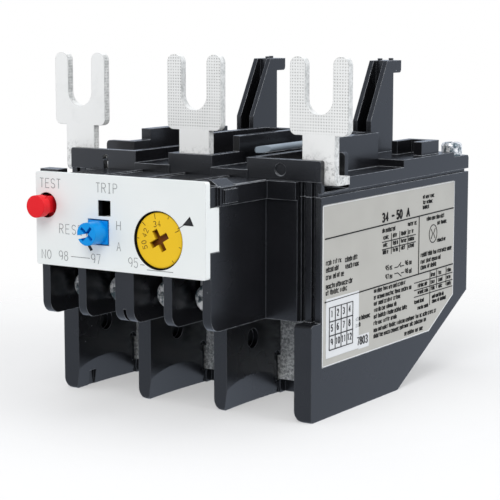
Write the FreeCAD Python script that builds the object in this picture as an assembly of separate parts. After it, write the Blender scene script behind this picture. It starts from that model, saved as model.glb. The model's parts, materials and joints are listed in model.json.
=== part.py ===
"""Thermal overload relay, built as separate pieces on one datum.

Datum while building: X = 0 at the middle fork, Y = 0 at the front face of the
forks, Z = 0 at the bottom of the barrier ribs.  The last step moves every
piece so that the origin is under the middle of the overall box.
"""
import FreeCAD, Part
import math
import os

V = FreeCAD.Vector
X_AXIS = V(1, 0, 0)
Y_AXIS = V(0, 1, 0)
Z_AXIS = V(0, 0, 1)

# --- clearances -----------------------------------------------------------
seat_gap = 0.1          # fixed piece in its pocket
slide_gap = 0.3         # moving piece beside a wall
shaft_gap = 0.05        # radial, shaft in its bearing
contact_gap = 0.05      # closed contacts

# --- casing ---------------------------------------------------------------
phase_pitch = 19.35     # load cells, troughs and bimetals
rib_t = 3.2
outer_wall_t = 4.0
rib_front = -4.8
front_wall_y = -0.9     # joint face between casing and control housing
front_wall_t = 2.4
edge_front = -1.2       # front of the side walls above the ribs
body_depth = 66.8
rear_y = edge_front + body_depth
bottom_rear_y = 31.9
chamfer_top_z = 17.5
cell_top = 19.9
parting_z = 45.2
parting_groove = 0.7
shell_t = 3.0
plate_front_y = 16.1
cell_back_y = 18.1
back_wall_t = 2.0
rib_nose_r = 0.7        # along the lower front edge
rib_corner_r = 2.3      # along the lower left edge of each rib
upper_floor_z = 23.0
flute_w = 0.9           # upright flutes beside the flange
flute_first = 0.5
flute_pitch = 2.3
flute_depth = 1.0
scoop_depth = 1.0
scoop_top_z = 6.2
scoop_mid_y = 5.0
scoop_r = 28.2
mark_y = 5.0            # round blind mark above the scoop
mark_z = 13.8
mark_r = 2.1
mark_depth = 1.2
keyslot_y = 14.7
keyslot_top_z = 8.3
keyslot_r = 1.25
keyslot_depth = 1.0
keyslot_stem_y = 14.5

cell_half = (phase_pitch - rib_t) / 2
inner_wall_x = phase_pitch + cell_half
half_width = inner_wall_x + outer_wall_t
phases = (-1, 0, 1)

# --- label on the right side ------------------------------------------------
label_t = 0.2
label_front_y = -0.65
label_rear_y = 58.5
label_bottom_z = 10.7
label_top_z = 43.6
label_corner_y = 46.6
label_corner_z = 17.4
sticker_t = 0.1
sticker_w = 13.5
sticker_h = 12.2

# --- top cover --------------------------------------------------------------
ledge_z = parting_z + 3.3
platform_z = ledge_z + 1.6
platform_front_y = 33.7
platform_rear_y = 58.0
step_z = platform_z - 1.1
wall_low_z = ledge_z + 4.0
wall_mid_z = ledge_z + 4.9
wall_tall_z = ledge_z + 7.3
barrier_front_y = -1.5
barrier_rear_y = -0.1
trough_wall_t = 1.6
trough_half = 5.5
outer_trough_x = 14.0
outer_wall_t2 = 1.4
tall_wall_x0 = 22.8
tall_wall_x1 = 25.2
cross_wall_y = 9.8
cross_wall_x0 = 23.0
cross_wall_end = 1.0     # from the side face
tall_start_y = 15.8
trough_rear_y = 35.0
outer_rear_y = 33.6
trough_rear_t = 1.4
gap_floor_z = ledge_z + 1.5
gap_floor_y = -1.8
gap_bar_x = 9.1
gap_bar_z = 52.9
gap_bar_r = 0.75
gap_bar_y0 = 10.3
gap_bar_y1 = 33.0
gap_bar_nose = 4.5      # length of the slanted nose
gap_rib_t = 1.0
plinth_half = 22.0
plinth_rear_y = 37.6
plinth_z = platform_z + 1.7
notch_floor_z = parting_z + 1.0
keyhole_x = -22.0
keyhole_w = 1.2
keyhole_h = 2.4
dimple_x = 22.0
dimple_z = 50.4
dimple_r = 1.3

# --- hooks and guards on the cover ------------------------------------------
hook_x = 15.6
hook_w = 4.6
hook_wall = 1.1
hook_front_y = 43.4
hook_rear_y = 53.8
hook_knee_z = 57.4
hook_top_front_y = 50.9
hook_top_z = 70.6
hook_nose_y = 57.5
hook_nose_z = 67.8
hook_back_t = 2.4
pip_r = 0.55
pip_h = 0.5
guard_x0 = 22.2
guard_x1 = 29.7
guard_y0 = 45.3
guard_y1 = 53.6
guard_h = 3.0
guard_t = 1.4

# --- cover screws -----------------------------------------------------------
cover_screw_x = 28.9
cover_screw_y = 61.8
cover_screw_r = 1.45
cover_screw_len = 12.0
cover_head_r = 2.35
cover_head_h = 2.4
cover_washer_r = 2.35
cover_washer_t = 0.6
boss_r = 3.3
boss_h = 18.0

# --- line conductors (forks) ------------------------------------------------
fork_pitch = 30.0
fork_w = 13.4
fork_slot_w = 6.4
fork_t = 1.7
fork_top_z = 72.9
fork_slot_z = 61.4      # lowest point of the slot
fork_wide_z = 57.35
fork_stem_w = 7.5
fork_corner_r = 1.4
leg_z = ledge_z - 1.1    # underside of the horizontal leg
leg_depth = 6.0
trough_strip_half = 3.0
drop_y = 30.0
drop_z = 38.0
fork_bend_r = 1.5

# --- load terminals -----------------------------------------------------------
load_plate_z = 3.0
load_plate_top = 19.5
groove_depth = 0.8
tongue_z = 4.0
tongue_t = 2.0
tongue_end_y = 26.0
load_screw_z = 11.5
load_screw_r = 1.95
load_head_r = 3.6
load_head_h = 1.6
load_washer_r = 4.0
load_washer_t = 0.8
load_screw_len = 1.9

# --- heaters and bimetals -----------------------------------------------------
bimetal_t = 1.0
bimetal_w = 8.0
bimetal_front_y = 21.5
bimetal_pivot_z = 10.5
bimetal_root = 0.7      # length below the pivot
bimetal_top_z = 43.0
bracket_half = 1.5
bracket_wall = 0.6
bracket_ear_z = 12.8
heater_t = 0.8
heater_x = -3.6         # left face, from the phase centre
heater_strip = 1.8
heater_turns = 4

# --- push bars ------------------------------------------------------------------
bar_z = 34.5
push_bar_y = 17.2
bar_t = 2.0
push_bar_top = 38.5
pull_bar_y = 14.4
pull_bar_top = 41.5
finger_t = 1.2
finger_h = 2.2
finger_end_y = 24.0
bar_x0 = -22.5
bar_x1 = 22.0
bar_travel = 2.5
diff_lever_t = 1.2

# --- compensation lever ----------------------------------------------------------
comp_x = 14.5
comp_pivot_y = 4.5
comp_t = 1.0
comp_z0 = 41.8
comp_z1 = 44.8
comp_front_y = -7.0
comp_rear_y = 18.4
comp_pin_r = 1.0
comp_eye_r = 2.0

# --- control housing --------------------------------------------------------------
housing_x0 = -22.9
housing_x1 = 19.0
housing_front_y = -22.1
housing_wall = 1.6
flange_t = 1.2
flange_half = 26.4
flange_top_z = ledge_z - 0.3
housing_top_z = flange_top_z + 0.15
aux_floor_z = 30.5
aux_bottom_z = 19.9
aux_front_y = -21.9
aux_back_y = -10.0
aux_back_t = 1.4
aux_back_z = 22.5
aux_wall = 1.95
aux_corner_r = 2.8
band_z = 44.5
band_t = 0.7
band_pad_t = 0.5
bulkhead_y = -14.6
bulkhead_t = 1.2
lug_y0 = -18.4          # slanted lug on the right top edge
lug_y1 = -13.0
lug_w = 2.3
lug_h = 1.0
lug_drop = 0.45
top_rib_x = -13.0
top_rib_pitch = 11.0
top_rib_w = 1.2
top_rib_h = 0.35
top_rib_inset = 2.0
centre_wall_x0 = -4.2
centre_wall_x1 = 0.4

# --- faceplate ----------------------------------------------------------------------
face_t = 1.5
face_bottom_z = 30.5
face_top_z = 49.5
face_tab_depth = 4.6
face_tab_z0 = 35.7
face_tab_z1 = 44.35
face_tab_left_z1 = 39.8
face_tab_t = 0.9

# --- setting dial ---------------------------------------------------------------------
dial_x = 7.75
dial_z = 37.45
dial_r = 5.55
dial_recess = 0.35
dial_t = 1.1
dial_shaft_r = 2.4
cross_w = 1.3
cross_len = 4.6
cross_depth = 1.2
cam_y0 = -18.6
cam_y1 = -16.4
cam_r_mid = 3.9
cam_rise = 0.2          # mm of radius for each radian
dial_swing = 120.0      # degrees each way
cam_land = 6.0          # degrees of cam past each limit
lever_pin_x = 15.9       # adjusting lever between the cam and the compensation lever
lever_pin_y = -11.8
lever_pin_r = 0.75
lever_hub_r = 1.3
lever_t = 0.8
lever_nose_r = 0.8
lever_low_h = 3.0
lever_high_z = 42.0
lever_high_h = 1.5
lever_end_y = -4.6

# --- test button ------------------------------------------------------------------------
test_x = -20.15
test_z = 42.75
test_r = 2.27
test_hole_r = 2.57
test_relief_y = -19.0
test_front = 3.6        # stands out of the faceplate
test_stem_r = 1.1
shoulder_over = 0.55    # shoulder radius past the hole
shoulder_t = 1.2
test_travel = 2.5
test_inset = 1.6        # test stem centre, inwards from the button centre

# --- reset plunger and knob ---------------------------------------------------------------
reset_x0 = -9.6
reset_x1 = -4.3
reset_z0 = 35.5
reset_z1 = 40.7
reset_block_front = 0.2  # block in front of the faceplate
knob_r = 2.3
knob_t = 3.7
knob_pin_r = 1.0
knob_pin_len = 3.0
reset_travel = 3.0
reset_stem_r = 1.2

# --- springs --------------------------------------------------------------------------------
spring_wire_r = 0.28
spring_mean_r = 1.75
spring_turns = 4
spring_steps = 14       # straight runs in one turn
spring_sides = 6

# --- contacts and slide --------------------------------------------------------------------
aux_centres = {"98": -17.2, "97": -7.95, "95": 4.05, "96": 13.45}
aux_strip_half = 3.1
aux_strip_y = -12.2
aux_strip_t = 1.0
aux_screw_z = 25.3
aux_screw_r = 1.7
aux_head_r = 2.9
aux_head_h = 2.5
aux_washer_half = 3.05
aux_washer_t = 0.8
contact_half = 1.0
rivet_r = 0.9
rivet_h = 0.6
arm_t = 0.8
slide_travel = 3.1
slide_z0 = 42.3
slide_z1 = 45.3
slide_y0 = -9.0
slide_y1 = -6.0
no_arm_top = 35.8
nc_arm_z = 38.0
flag_x0 = -6.9
flag_x1 = -3.9
flag_z0 = 44.65
flag_z1 = 46.5

# --- trip window ------------------------------------------------------------------------------
trip_x0 = -7.0
trip_x1 = -3.85
trip_z0 = 41.35
trip_z1 = 44.55

face_front_y = housing_front_y - face_t
overall_front_y = face_front_y - reset_block_front - knob_t
front_most_y = min(overall_front_y, face_front_y - test_front)
mid_y = (front_most_y + rear_y) / 2


# --- shape helpers -----------------------------------------------------------------------------
def box(x0, x1, y0, y1, z0, z1):
    return Part.makeBox(x1 - x0, y1 - y0, z1 - z0, V(x0, y0, z0))


def prism_x(points, x0, x1):
    """Outline in (y, z), carried from x0 to x1."""
    corners = [V(x0, y, z) for y, z in points]
    face = Part.Face(Part.makePolygon(corners + corners[:1]))
    return face.extrude(V(x1 - x0, 0, 0))


def prism_y(points, y0, y1):
    """Outline in (x, z), carried from y0 to y1."""
    corners = [V(x, y0, z) for x, z in points]
    face = Part.Face(Part.makePolygon(corners + corners[:1]))
    return face.extrude(V(0, y1 - y0, 0))


def rod_x(y, z, r, x0, x1):
    return Part.makeCylinder(r, x1 - x0, V(x0, y, z), X_AXIS)


def rod_y(x, z, r, y0, y1):
    return Part.makeCylinder(r, y1 - y0, V(x, y0, z), Y_AXIS)


def rod_z(x, y, r, z0, z1):
    return Part.makeCylinder(r, z1 - z0, V(x, y, z0), Z_AXIS)


def turned_y(x, z, profile):
    """Turn an outline of (radius, y) points about an axis along Y."""
    corners = [V(x + r, y, z) for r, y in profile]
    face = Part.Face(Part.makePolygon(corners + corners[:1]))
    return face.revolve(V(x, 0, z), Y_AXIS, 360)


def turned_z(x, y, profile):
    """Turn an outline of (radius, z) points about an axis along Z."""
    corners = [V(x + r, y, z) for r, z in profile]
    face = Part.Face(Part.makePolygon(corners + corners[:1]))
    return face.revolve(V(x, y, 0), Z_AXIS, 360)


def eased_rim(r, ease, end, inward):
    """Outline points for a rim softened in two steps; inward is +1 or -1 along the axis."""
    return [(0, end), (r - ease, end), (r - 0.3 * ease, end + inward * 0.3 * ease),
            (r, end + inward * ease)]


def mirror_x(shape):
    return shape.mirror(V(0, 0, 0), X_AXIS)


def fuse(shapes):
    first = shapes[0]
    rest = shapes[1:]
    if rest:
        first = first.multiFuse(rest)
    return first.removeSplitter()


def round_edges(shape, radius, wanted):
    """Fillet the straight edges that wanted(low, high) accepts."""
    picked = []
    for edge in shape.Edges:
        b = edge.BoundBox
        if wanted(V(b.XMin, b.YMin, b.ZMin), V(b.XMax, b.YMax, b.ZMax)):
            picked.append(edge)
    return shape.makeFillet(radius, picked)


def near(a, b):
    return abs(a - b) < 1e-4


def runs_x_at(y, z):
    def test(low, high):
        at_y = near(low.y, y) and near(high.y, y)
        at_z = near(low.z, z) and near(high.z, z)
        return at_y and at_z and high.x - low.x > 0.5
    return test


def runs_y_at(x, z):
    def test(low, high):
        at_x = near(low.x, x) and near(high.x, x)
        at_z = near(low.z, z) and near(high.z, z)
        return at_x and at_z and high.y - low.y > 0.2
    return test


def runs_z_at(x, y):
    def test(low, high):
        at_x = near(low.x, x) and near(high.x, x)
        at_y = near(low.y, y) and near(high.y, y)
        return at_x and at_y and high.z - low.z > 0.2
    return test


# --- main casing ---------------------------------------------------------------------------------
def casing_outline():
    return [
        (rib_front, 0),
        (bottom_rear_y, 0),
        (rear_y, chamfer_top_z),
        (rear_y, parting_z),
        (edge_front, parting_z),
        (edge_front, cell_top),
        (rib_front, cell_top),
    ]


def chamber_outline():
    """Inside of one phase chamber, a shell wall inside the outline."""
    run = rear_y - bottom_rear_y
    slope = chamfer_top_z / run
    rise = shell_t * math.hypot(run, chamfer_top_z) / run
    back = rear_y - shell_t
    low_rear = bottom_rear_y + (shell_t - rise) / slope
    front_low = cell_back_y + back_wall_t
    front_high = front_wall_y + front_wall_t
    return [
        (front_low, shell_t),
        (low_rear, shell_t),
        (back, (back - bottom_rear_y) * slope + rise),
        (back, parting_z + 1),
        (front_high, parting_z + 1),
        (front_high, upper_floor_z),
        (front_low, upper_floor_z),
    ]


def lug_scoop(x_face, inward):
    """Conical relief low in a cell's left wall, deepest at the bottom."""
    low_z = scoop_top_z - scoop_r
    inner_r = scoop_r - scoop_top_z
    direction = V(inward, 0, 0)
    return Part.makeCone(scoop_r, inner_r, scoop_depth, V(x_face, scoop_mid_y, low_z), direction)


def load_cell(xc):
    x0 = xc - cell_half
    x1 = xc + cell_half
    space = box(x0, x1, rib_front - 1, cell_back_y, -1, cell_top)
    keep = box(x0 - 2, x1 + 2, rib_front - 1, plate_front_y, -1, cell_top)
    scoop = lug_scoop(x0, -1).common(keep)
    x0 = x0 - groove_depth - seat_gap
    x1 = x1 + groove_depth + seat_gap
    grooves = box(x0, x1, plate_front_y, cell_back_y, load_plate_z, cell_top)
    tongue = box(
        xc + heater_x - seat_gap - 0.4, xc + trough_strip_half + seat_gap,
        cell_back_y - 0.5, cell_back_y + back_wall_t + 1,
        tongue_z - seat_gap, tongue_z + tongue_t + seat_gap)
    mark = rod_x(mark_y, mark_z, mark_r, xc - cell_half - mark_depth, xc - cell_half + 0.1)
    tool = space.multiFuse([scoop, grooves, tongue, mark, plate_keyhole(xc - cell_half)])
    return tool


def rib_corner(x_left):
    """What a round lower left edge takes off one rib."""
    r = rib_corner_r
    corner = box(x_left - 0.1, x_left + r, rib_front - 1, plate_front_y, -1, r)
    return corner.cut(rod_y(x_left + r, r, r, rib_front - 2, plate_front_y + 1))


def plate_keyhole(x_face):
    """Round-headed slot in a rib where the load plate slides in."""
    x0 = x_face - keyslot_depth
    head = rod_x(keyslot_y, keyslot_top_z, keyslot_r, x0, x_face + 0.1)
    stem = box(x0, x_face + 0.1, keyslot_stem_y, plate_front_y + 0.1, load_plate_z, keyslot_top_z)
    return head.fuse(stem)


def side_grooves():
    """Vertical flutes at the front of the side walls, above the ribs."""
    cuts = [box(-0.1, flange_half + seat_gap, edge_front - 1, front_wall_y, cell_top, parting_z + 1)]
    return cuts + flutes(cell_top, parting_z + 1)


def flutes(low_z, high_z):
    """Two upright flutes beside the flange on the right, shared by casing and cover."""
    cuts = []
    for i in range(2):
        x0 = flange_half + flute_first + i * flute_pitch
        cuts.append(box(x0, x0 + flute_w, edge_front - 1, edge_front + flute_depth, low_z, high_z))
    return cuts


def bar_window():
    """Opening in the partitions that carries both push bars."""
    reach = phase_pitch / 2 + rib_t
    return box(
        -reach, reach,
        pull_bar_y - slide_gap, push_bar_y + bar_t + slide_gap,
        bar_z - slide_gap, pull_bar_top + slide_gap)


def main_casing():
    body = prism_x(casing_outline(), -half_width, half_width)
    body = round_edges(body, rib_nose_r, runs_x_at(rib_front, 0))
    body = round_edges(body, rib_nose_r, runs_x_at(rib_front, cell_top))
    cuts = [load_cell(i * phase_pitch) for i in phases]
    for i in phases:
        xc = i * phase_pitch
        cuts.append(prism_x(chamber_outline(), xc - cell_half, xc + cell_half))
    for cut in side_grooves():
        cuts.append(cut)
        cuts.append(mirror_x(cut))
    cuts.append(bar_window())
    for x_left in (-half_width, -phase_pitch + cell_half, cell_half, inner_wall_x):
        cuts.append(rib_corner(x_left))
    slot_x1 = comp_x + comp_t / 2 + slide_gap
    slot_x0 = comp_x - comp_t / 2 - 2.2
    cuts.append(box(
        slot_x0, slot_x1, front_wall_y - 1, front_wall_y + front_wall_t + 1,
        comp_z0 - slide_gap, parting_z + 1))
    cuts.append(label_shape(0.0, label_t + 1))
    notch = box(-inner_wall_x - 1.2, -inner_wall_x + 0.1, -0.75, 1.75, -1, 3.3)
    cuts.append(notch)
    body = body.cut(Part.makeCompound(cuts))
    bosses = []
    holes = []
    for side in (-1, 1):
        x = side * cover_screw_x
        keep = box(-half_width, half_width, 0, rear_y, 0, parting_z)
        boss = rod_z(x, cover_screw_y, boss_r, parting_z - boss_h, parting_z)
        bosses.append(boss.common(keep))
        depth = cover_screw_len + 1
        holes.append(rod_z(x, cover_screw_y, cover_screw_r + seat_gap, parting_z - depth, parting_z + 1))
    pin_boss = rod_z(comp_x, comp_pivot_y, comp_eye_r + 0.6, upper_floor_z - 0.5, comp_z0 - slide_gap)
    pads = []
    for i in phases:
        xc = i * phase_pitch
        pads.append(box(
            xc - bracket_half, xc + bracket_half,
            tongue_end_y + seat_gap, bimetal_front_y + bimetal_w,
            shell_t - 0.5, tongue_z + tongue_t))
    body = body.multiFuse(bosses + [pin_boss] + pads)
    holes.append(rod_z(comp_x, comp_pivot_y, comp_pin_r + 0.0, comp_z0 - 6.0, comp_z0))
    return body.cut(Part.makeCompound(holes)).removeSplitter()


# --- label -----------------------------------------------------------------------------------------
def label_shape(grow, depth):
    """Six-sided label panel, sunk from the right side face."""
    outline = [
        (label_front_y - grow, label_bottom_z - grow),
        (label_corner_y, label_bottom_z - grow),
        (label_rear_y + grow, label_corner_z),
        (label_rear_y + grow, label_top_z + grow),
        (label_front_y - grow, label_top_z + grow),
    ]
    return prism_x(outline, half_width - label_t, half_width - label_t + depth)


def rating_label():
    label = label_shape(0.0, label_t)
    corner_r = 1.0
    x0 = half_width - label_t
    for y, z in ((label_front_y, label_top_z), (label_rear_y, label_top_z)):
        def at_corner(low, high, y=y, z=z):
            at_y = near(low.y, y) and near(high.y, y)
            at_z = near(low.z, z) and near(high.z, z)
            return at_y and at_z and near(low.x, x0)
        label = round_edges(label, corner_r, at_corner)
    return label


def label_sticker():
    y0 = label_front_y + 1.4
    z0 = label_bottom_z + 1.6
    return box(half_width, half_width + sticker_t, y0, y0 + sticker_w, z0, z0 + sticker_h)


# --- top cover ---------------------------------------------------------------------------------------
def cover_base():
    outline = [
        (edge_front, parting_z),
        (rear_y, parting_z),
        (rear_y, step_z),
        (platform_rear_y, step_z),
        (platform_rear_y, platform_z),
        (platform_front_y, platform_z),
        (platform_front_y, ledge_z),
        (edge_front, ledge_z),
    ]
    base = prism_x(outline, -half_width, half_width)
    base = round_edges(base, 0.8, runs_x_at(rear_y, step_z))
    shadow = parting_groove
    line = box(-half_width, half_width, edge_front - 1, rear_y + 1, parting_z, parting_z + shadow)
    inner = box(-half_width + shadow, half_width - shadow, edge_front - 1, rear_y - shadow,
                parting_z, parting_z + shadow)
    return base.cut(line.cut(inner))


def front_barriers():
    mid = box(-trough_half, trough_half, barrier_front_y, barrier_rear_y, flange_top_z, wall_low_z)
    side = box(outer_trough_x, half_width, barrier_front_y, barrier_rear_y, flange_top_z, wall_low_z)
    side = round_edges(side, 0.5, runs_y_at(half_width, wall_low_z))
    return [mid, side, mirror_x(side)]


def mid_trough_walls():
    """Barrier round the middle conductor, low at the front and tall behind."""
    walls = []
    foot = ledge_z - 1
    rear = trough_rear_y - trough_rear_t
    for side in (-1, 1):
        x0 = min(side * trough_half, side * (trough_half - trough_wall_t))
        x1 = x0 + trough_wall_t
        walls.append(box(x0, x1, barrier_rear_y - 0.5, cross_wall_y, foot, wall_low_z))
        walls.append(box(x0, x1, cross_wall_y - 1.0, trough_rear_y, foot, wall_tall_z))
    walls.append(box(-trough_half, trough_half, rear, trough_rear_y, foot, wall_tall_z))
    return walls


def outer_trough_walls():
    """Barriers round the right conductor."""
    foot = ledge_z - 1
    rear = outer_rear_y - trough_rear_t
    inner = outer_trough_x
    t = outer_wall_t2
    end_x = half_width - cross_wall_end
    cross = box(cross_wall_x0, end_x, cross_wall_y, cross_wall_y + t, foot, wall_mid_z)
    cross = round_edges(cross, 0.9, runs_y_at(end_x, wall_mid_z))
    return [
        box(inner, inner + t, barrier_rear_y - 0.5, outer_rear_y, foot, wall_low_z),
        box(tall_wall_x0, tall_wall_x1, tall_start_y, outer_rear_y, foot, wall_tall_z),
        box(tall_wall_x0, tall_wall_x1, cross_wall_y, tall_start_y + 0.1, foot, wall_mid_z),
        box(inner, tall_wall_x1, rear, outer_rear_y, foot, wall_tall_z),
        cross,
    ]


def gap_floor():
    """Raised floor between the middle and the right trough."""
    return box(trough_half - 0.2, outer_trough_x + 0.2, gap_floor_y, platform_front_y + 0.1,
               flange_top_z, gap_floor_z)


def gap_bar():
    """Light round bar along the right gap, its front end cut on a slant."""
    r = gap_bar_r
    bar = rod_y(gap_bar_x, gap_bar_z, r, gap_bar_y0, gap_bar_y1)
    x0 = gap_bar_x - r
    x1 = gap_bar_x + r
    tip = 0.4 * r
    corners = [V(x0 + tip, gap_bar_y0 - 0.1, 0), V(x1 + 0.1, gap_bar_y0 - 0.1, 0),
               V(x1 + 0.1, gap_bar_y0 + gap_bar_nose, 0)]
    wedge = Part.Face(Part.makePolygon(corners + corners[:1]))
    wedge.translate(V(0, 0, gap_bar_z - 2 * r))
    return bar.cut(wedge.extrude(V(0, 0, 4 * r)))


def gap_rib():
    """Thin rib of the cover that carries the round bar."""
    y0 = gap_bar_y0 + gap_bar_nose / 2
    wall = box(gap_bar_x - gap_rib_t / 2, gap_bar_x + gap_rib_t / 2, y0, gap_bar_y1,
               gap_floor_z - 0.5, gap_bar_z)
    return wall.cut(rod_y(gap_bar_x, gap_bar_z, gap_bar_r + seat_gap / 2, y0 - 1, gap_bar_y1 + 1))


def hook():
    """Open channel that leans back to a nose, on the right side."""
    outline = [
        (hook_front_y, platform_z - 0.5),
        (hook_rear_y, platform_z - 0.5),
        (hook_rear_y, hook_nose_z),
        (hook_nose_y, hook_nose_z),
        (hook_nose_y, hook_top_z),
        (hook_top_front_y, hook_top_z),
        (hook_front_y, hook_knee_z),
    ]
    x0 = hook_x - hook_w / 2
    x1 = hook_x + hook_w / 2
    solid = prism_x(outline, x0, x1)
    solid = round_edges(solid, 0.8, runs_x_at(hook_nose_y, hook_nose_z))
    back = hook_rear_y - hook_back_t
    channel = [
        (hook_front_y - 1, platform_z + 0.8),
        (back, platform_z + 0.8),
        (back, hook_knee_z),
        (back + 0.6, hook_top_z + 1),
        (hook_front_y - 1, hook_top_z + 1),
    ]
    cut = prism_x(channel, x0 + hook_wall, x1 - hook_wall)
    pips = [
        rod_z(hook_x - 0.5, hook_top_front_y + 1.6, pip_r, hook_top_z - 0.2, hook_top_z + pip_h),
        rod_z(hook_x + 0.6, hook_nose_y - 1.8, pip_r, hook_top_z - 0.2, hook_top_z + pip_h),
    ]
    return solid.cut(cut).multiFuse(pips)


def screw_guard():
    outer = box(guard_x0, guard_x1, guard_y0, guard_y1, platform_z - 0.5, platform_z + guard_h)
    inner = box(guard_x0 + guard_t, guard_x1 - guard_t - 0.6, guard_y0 - 1, guard_y1 - guard_t,
                platform_z, platform_z + guard_h + 1)
    return outer.cut(inner)


def conductor_recesses():
    """Pockets and slots in the cover for the line conductors."""
    cuts = []
    g = seat_gap
    for i in phases:
        xc = i * phase_pitch
        x0 = xc - trough_strip_half - g
        x1 = xc + trough_strip_half + g
        cuts.append(box(x0, x1, -g, drop_y + fork_t + g, leg_z, ledge_z + 1))
        drop_x0 = xc + heater_x - 0.2 - g
        cuts.append(box(drop_x0, x1, drop_y - g, drop_y + fork_t + g, parting_z - 1, ledge_z + 1))
    inner = phase_pitch - trough_strip_half
    side = box(inner, half_width + 1, -g, leg_depth + g, leg_z, ledge_z + 1)
    notch = box(tall_wall_x1, half_width + 1, -g, cross_wall_y, notch_floor_z, ledge_z + 1)
    cuts += [side, mirror_x(side), notch, mirror_x(notch)]
    return cuts


def barrier_marks():
    """Keyhole in the left front barrier and a blind dimple in the right one."""
    y0 = barrier_front_y - 1
    top = flange_top_z + keyhole_h
    return [
        box(keyhole_x - keyhole_w / 2, keyhole_x + keyhole_w / 2, y0, 0, flange_top_z, top),
        rod_y(keyhole_x, top, keyhole_w / 2 + 0.2, y0, 0),
        rod_y(dimple_x, dimple_z, dimple_r, y0, barrier_front_y + 0.4),
    ]


def top_cover():
    parts = [cover_base()] + front_barriers() + mid_trough_walls() + [gap_rib()]
    for wall in outer_trough_walls() + [gap_floor(), hook(), screw_guard()]:
        parts += [wall, mirror_x(wall)]
    parts.append(box(-plinth_half, plinth_half, trough_rear_y - 1, plinth_rear_y, platform_z - 0.5, plinth_z))
    body = parts[0].multiFuse(parts[1:])
    cuts = conductor_recesses() + barrier_marks()
    half = fork_stem_w / 2 + seat_gap
    cuts.append(box(-half, half, -seat_gap, leg_depth + seat_gap, leg_z, ledge_z + 1))
    reach = flange_half + seat_gap
    cuts.append(box(-reach, reach, edge_front - 1, front_wall_y + seat_gap, parting_z - 1, flange_top_z))
    for flute in flutes(parting_z - 1, flange_top_z):
        cuts += [flute, mirror_x(flute)]
    for side in (-1, 1):
        hole_r = cover_screw_r + 2 * seat_gap
        cuts.append(rod_z(side * cover_screw_x, cover_screw_y, hole_r, parting_z - 1, step_z + 1))
    return body.cut(Part.makeCompound(cuts)).removeSplitter()


def cover_screw_set():
    screws = []
    washers = []
    for side in (-1, 1):
        x = side * cover_screw_x
        seat = step_z + cover_washer_t
        profile = eased_rim(cover_head_r, 0.7, seat + cover_head_h, -1)
        profile += [(cover_head_r, seat), (cover_screw_r, seat),
                    (cover_screw_r, seat - cover_screw_len), (0, seat - cover_screw_len)]
        screw = turned_z(x, cover_screw_y, profile)
        slot = box(x - 0.4, x + 0.4, cover_screw_y - 1.7, cover_screw_y + 1.7,
                   seat + cover_head_h - 0.9, seat + cover_head_h + 1)
        cross = box(x - 1.7, x + 1.7, cover_screw_y - 0.4, cover_screw_y + 0.4,
                    seat + cover_head_h - 0.9, seat + cover_head_h + 1)
        screws.append(screw.cut(slot).cut(cross))
        ring = rod_z(x, cover_screw_y, cover_washer_r, step_z, seat)
        washers.append(ring.cut(rod_z(x, cover_screw_y, cover_screw_r + seat_gap, step_z - 1, seat + 1)))
    return Part.makeCompound(screws), Part.makeCompound(washers)


# --- line conductors ---------------------------------------------------------------------------------
def fork_plate(x):
    """Flat fork with rounded arms, seen from the front, bending back at the foot."""
    half = fork_w / 2
    slot_r = fork_slot_w / 2
    blank = box(x - half, x + half, 0, fork_t, fork_wide_z, fork_top_z)
    for cx in (x - half, x + half):
        blank = round_edges(blank, fork_corner_r, runs_y_at(cx, fork_wide_z))
    slot = box(x - slot_r, x + slot_r, -1, fork_t + 1, fork_slot_z + slot_r, fork_top_z + 1)
    slot = slot.fuse(rod_y(x, fork_slot_z + slot_r, slot_r, -1, fork_t + 1))
    blank = blank.cut(slot)
    arm_r = (half - slot_r) / 2 - 0.1
    for cx in (x - half, x - slot_r, x + slot_r, x + half):
        blank = round_edges(blank, arm_r, runs_y_at(cx, fork_top_z))
    stem = box(x - fork_stem_w / 2, x + fork_stem_w / 2, 0, fork_t, leg_z, fork_wide_z + 0.5)
    return [blank, stem]


def line_conductor(i):
    x = i * fork_pitch
    xc = i * phase_pitch
    parts = fork_plate(x)
    half = fork_stem_w / 2
    x0 = min(x - half, xc - trough_strip_half)
    x1 = max(x + half, xc + trough_strip_half)
    parts.append(box(x0, x1, 0, leg_depth, leg_z, leg_z + fork_t))
    parts.append(box(xc - trough_strip_half, xc + trough_strip_half, 0, drop_y + fork_t,
                     leg_z, leg_z + fork_t))
    parts.append(box(xc + heater_x - 0.2, xc + trough_strip_half, drop_y, drop_y + fork_t,
                     drop_z, leg_z + fork_t))
    body = parts[0].multiFuse(parts[1:]).removeSplitter()
    body = round_edges(body, fork_bend_r, runs_x_at(0, leg_z))
    inner = 0.9
    body = round_edges(body, inner, runs_x_at(fork_t, leg_z + fork_t))
    return body


# --- load terminals --------------------------------------------------------------------------------------
def load_plate(i):
    xc = i * phase_pitch
    half = cell_half + groove_depth
    plate = box(xc - half, xc + half, plate_front_y + seat_gap, cell_back_y, load_plate_z, load_plate_top)
    tongue = box(xc + heater_x - 0.4, xc + trough_strip_half, plate_front_y + seat_gap, tongue_end_y,
                 tongue_z, tongue_z + tongue_t)
    hole = rod_y(xc, load_screw_z, load_screw_r + seat_gap, plate_front_y - 1, cell_back_y + 1)
    return plate.fuse(tongue).cut(hole).removeSplitter()


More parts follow.
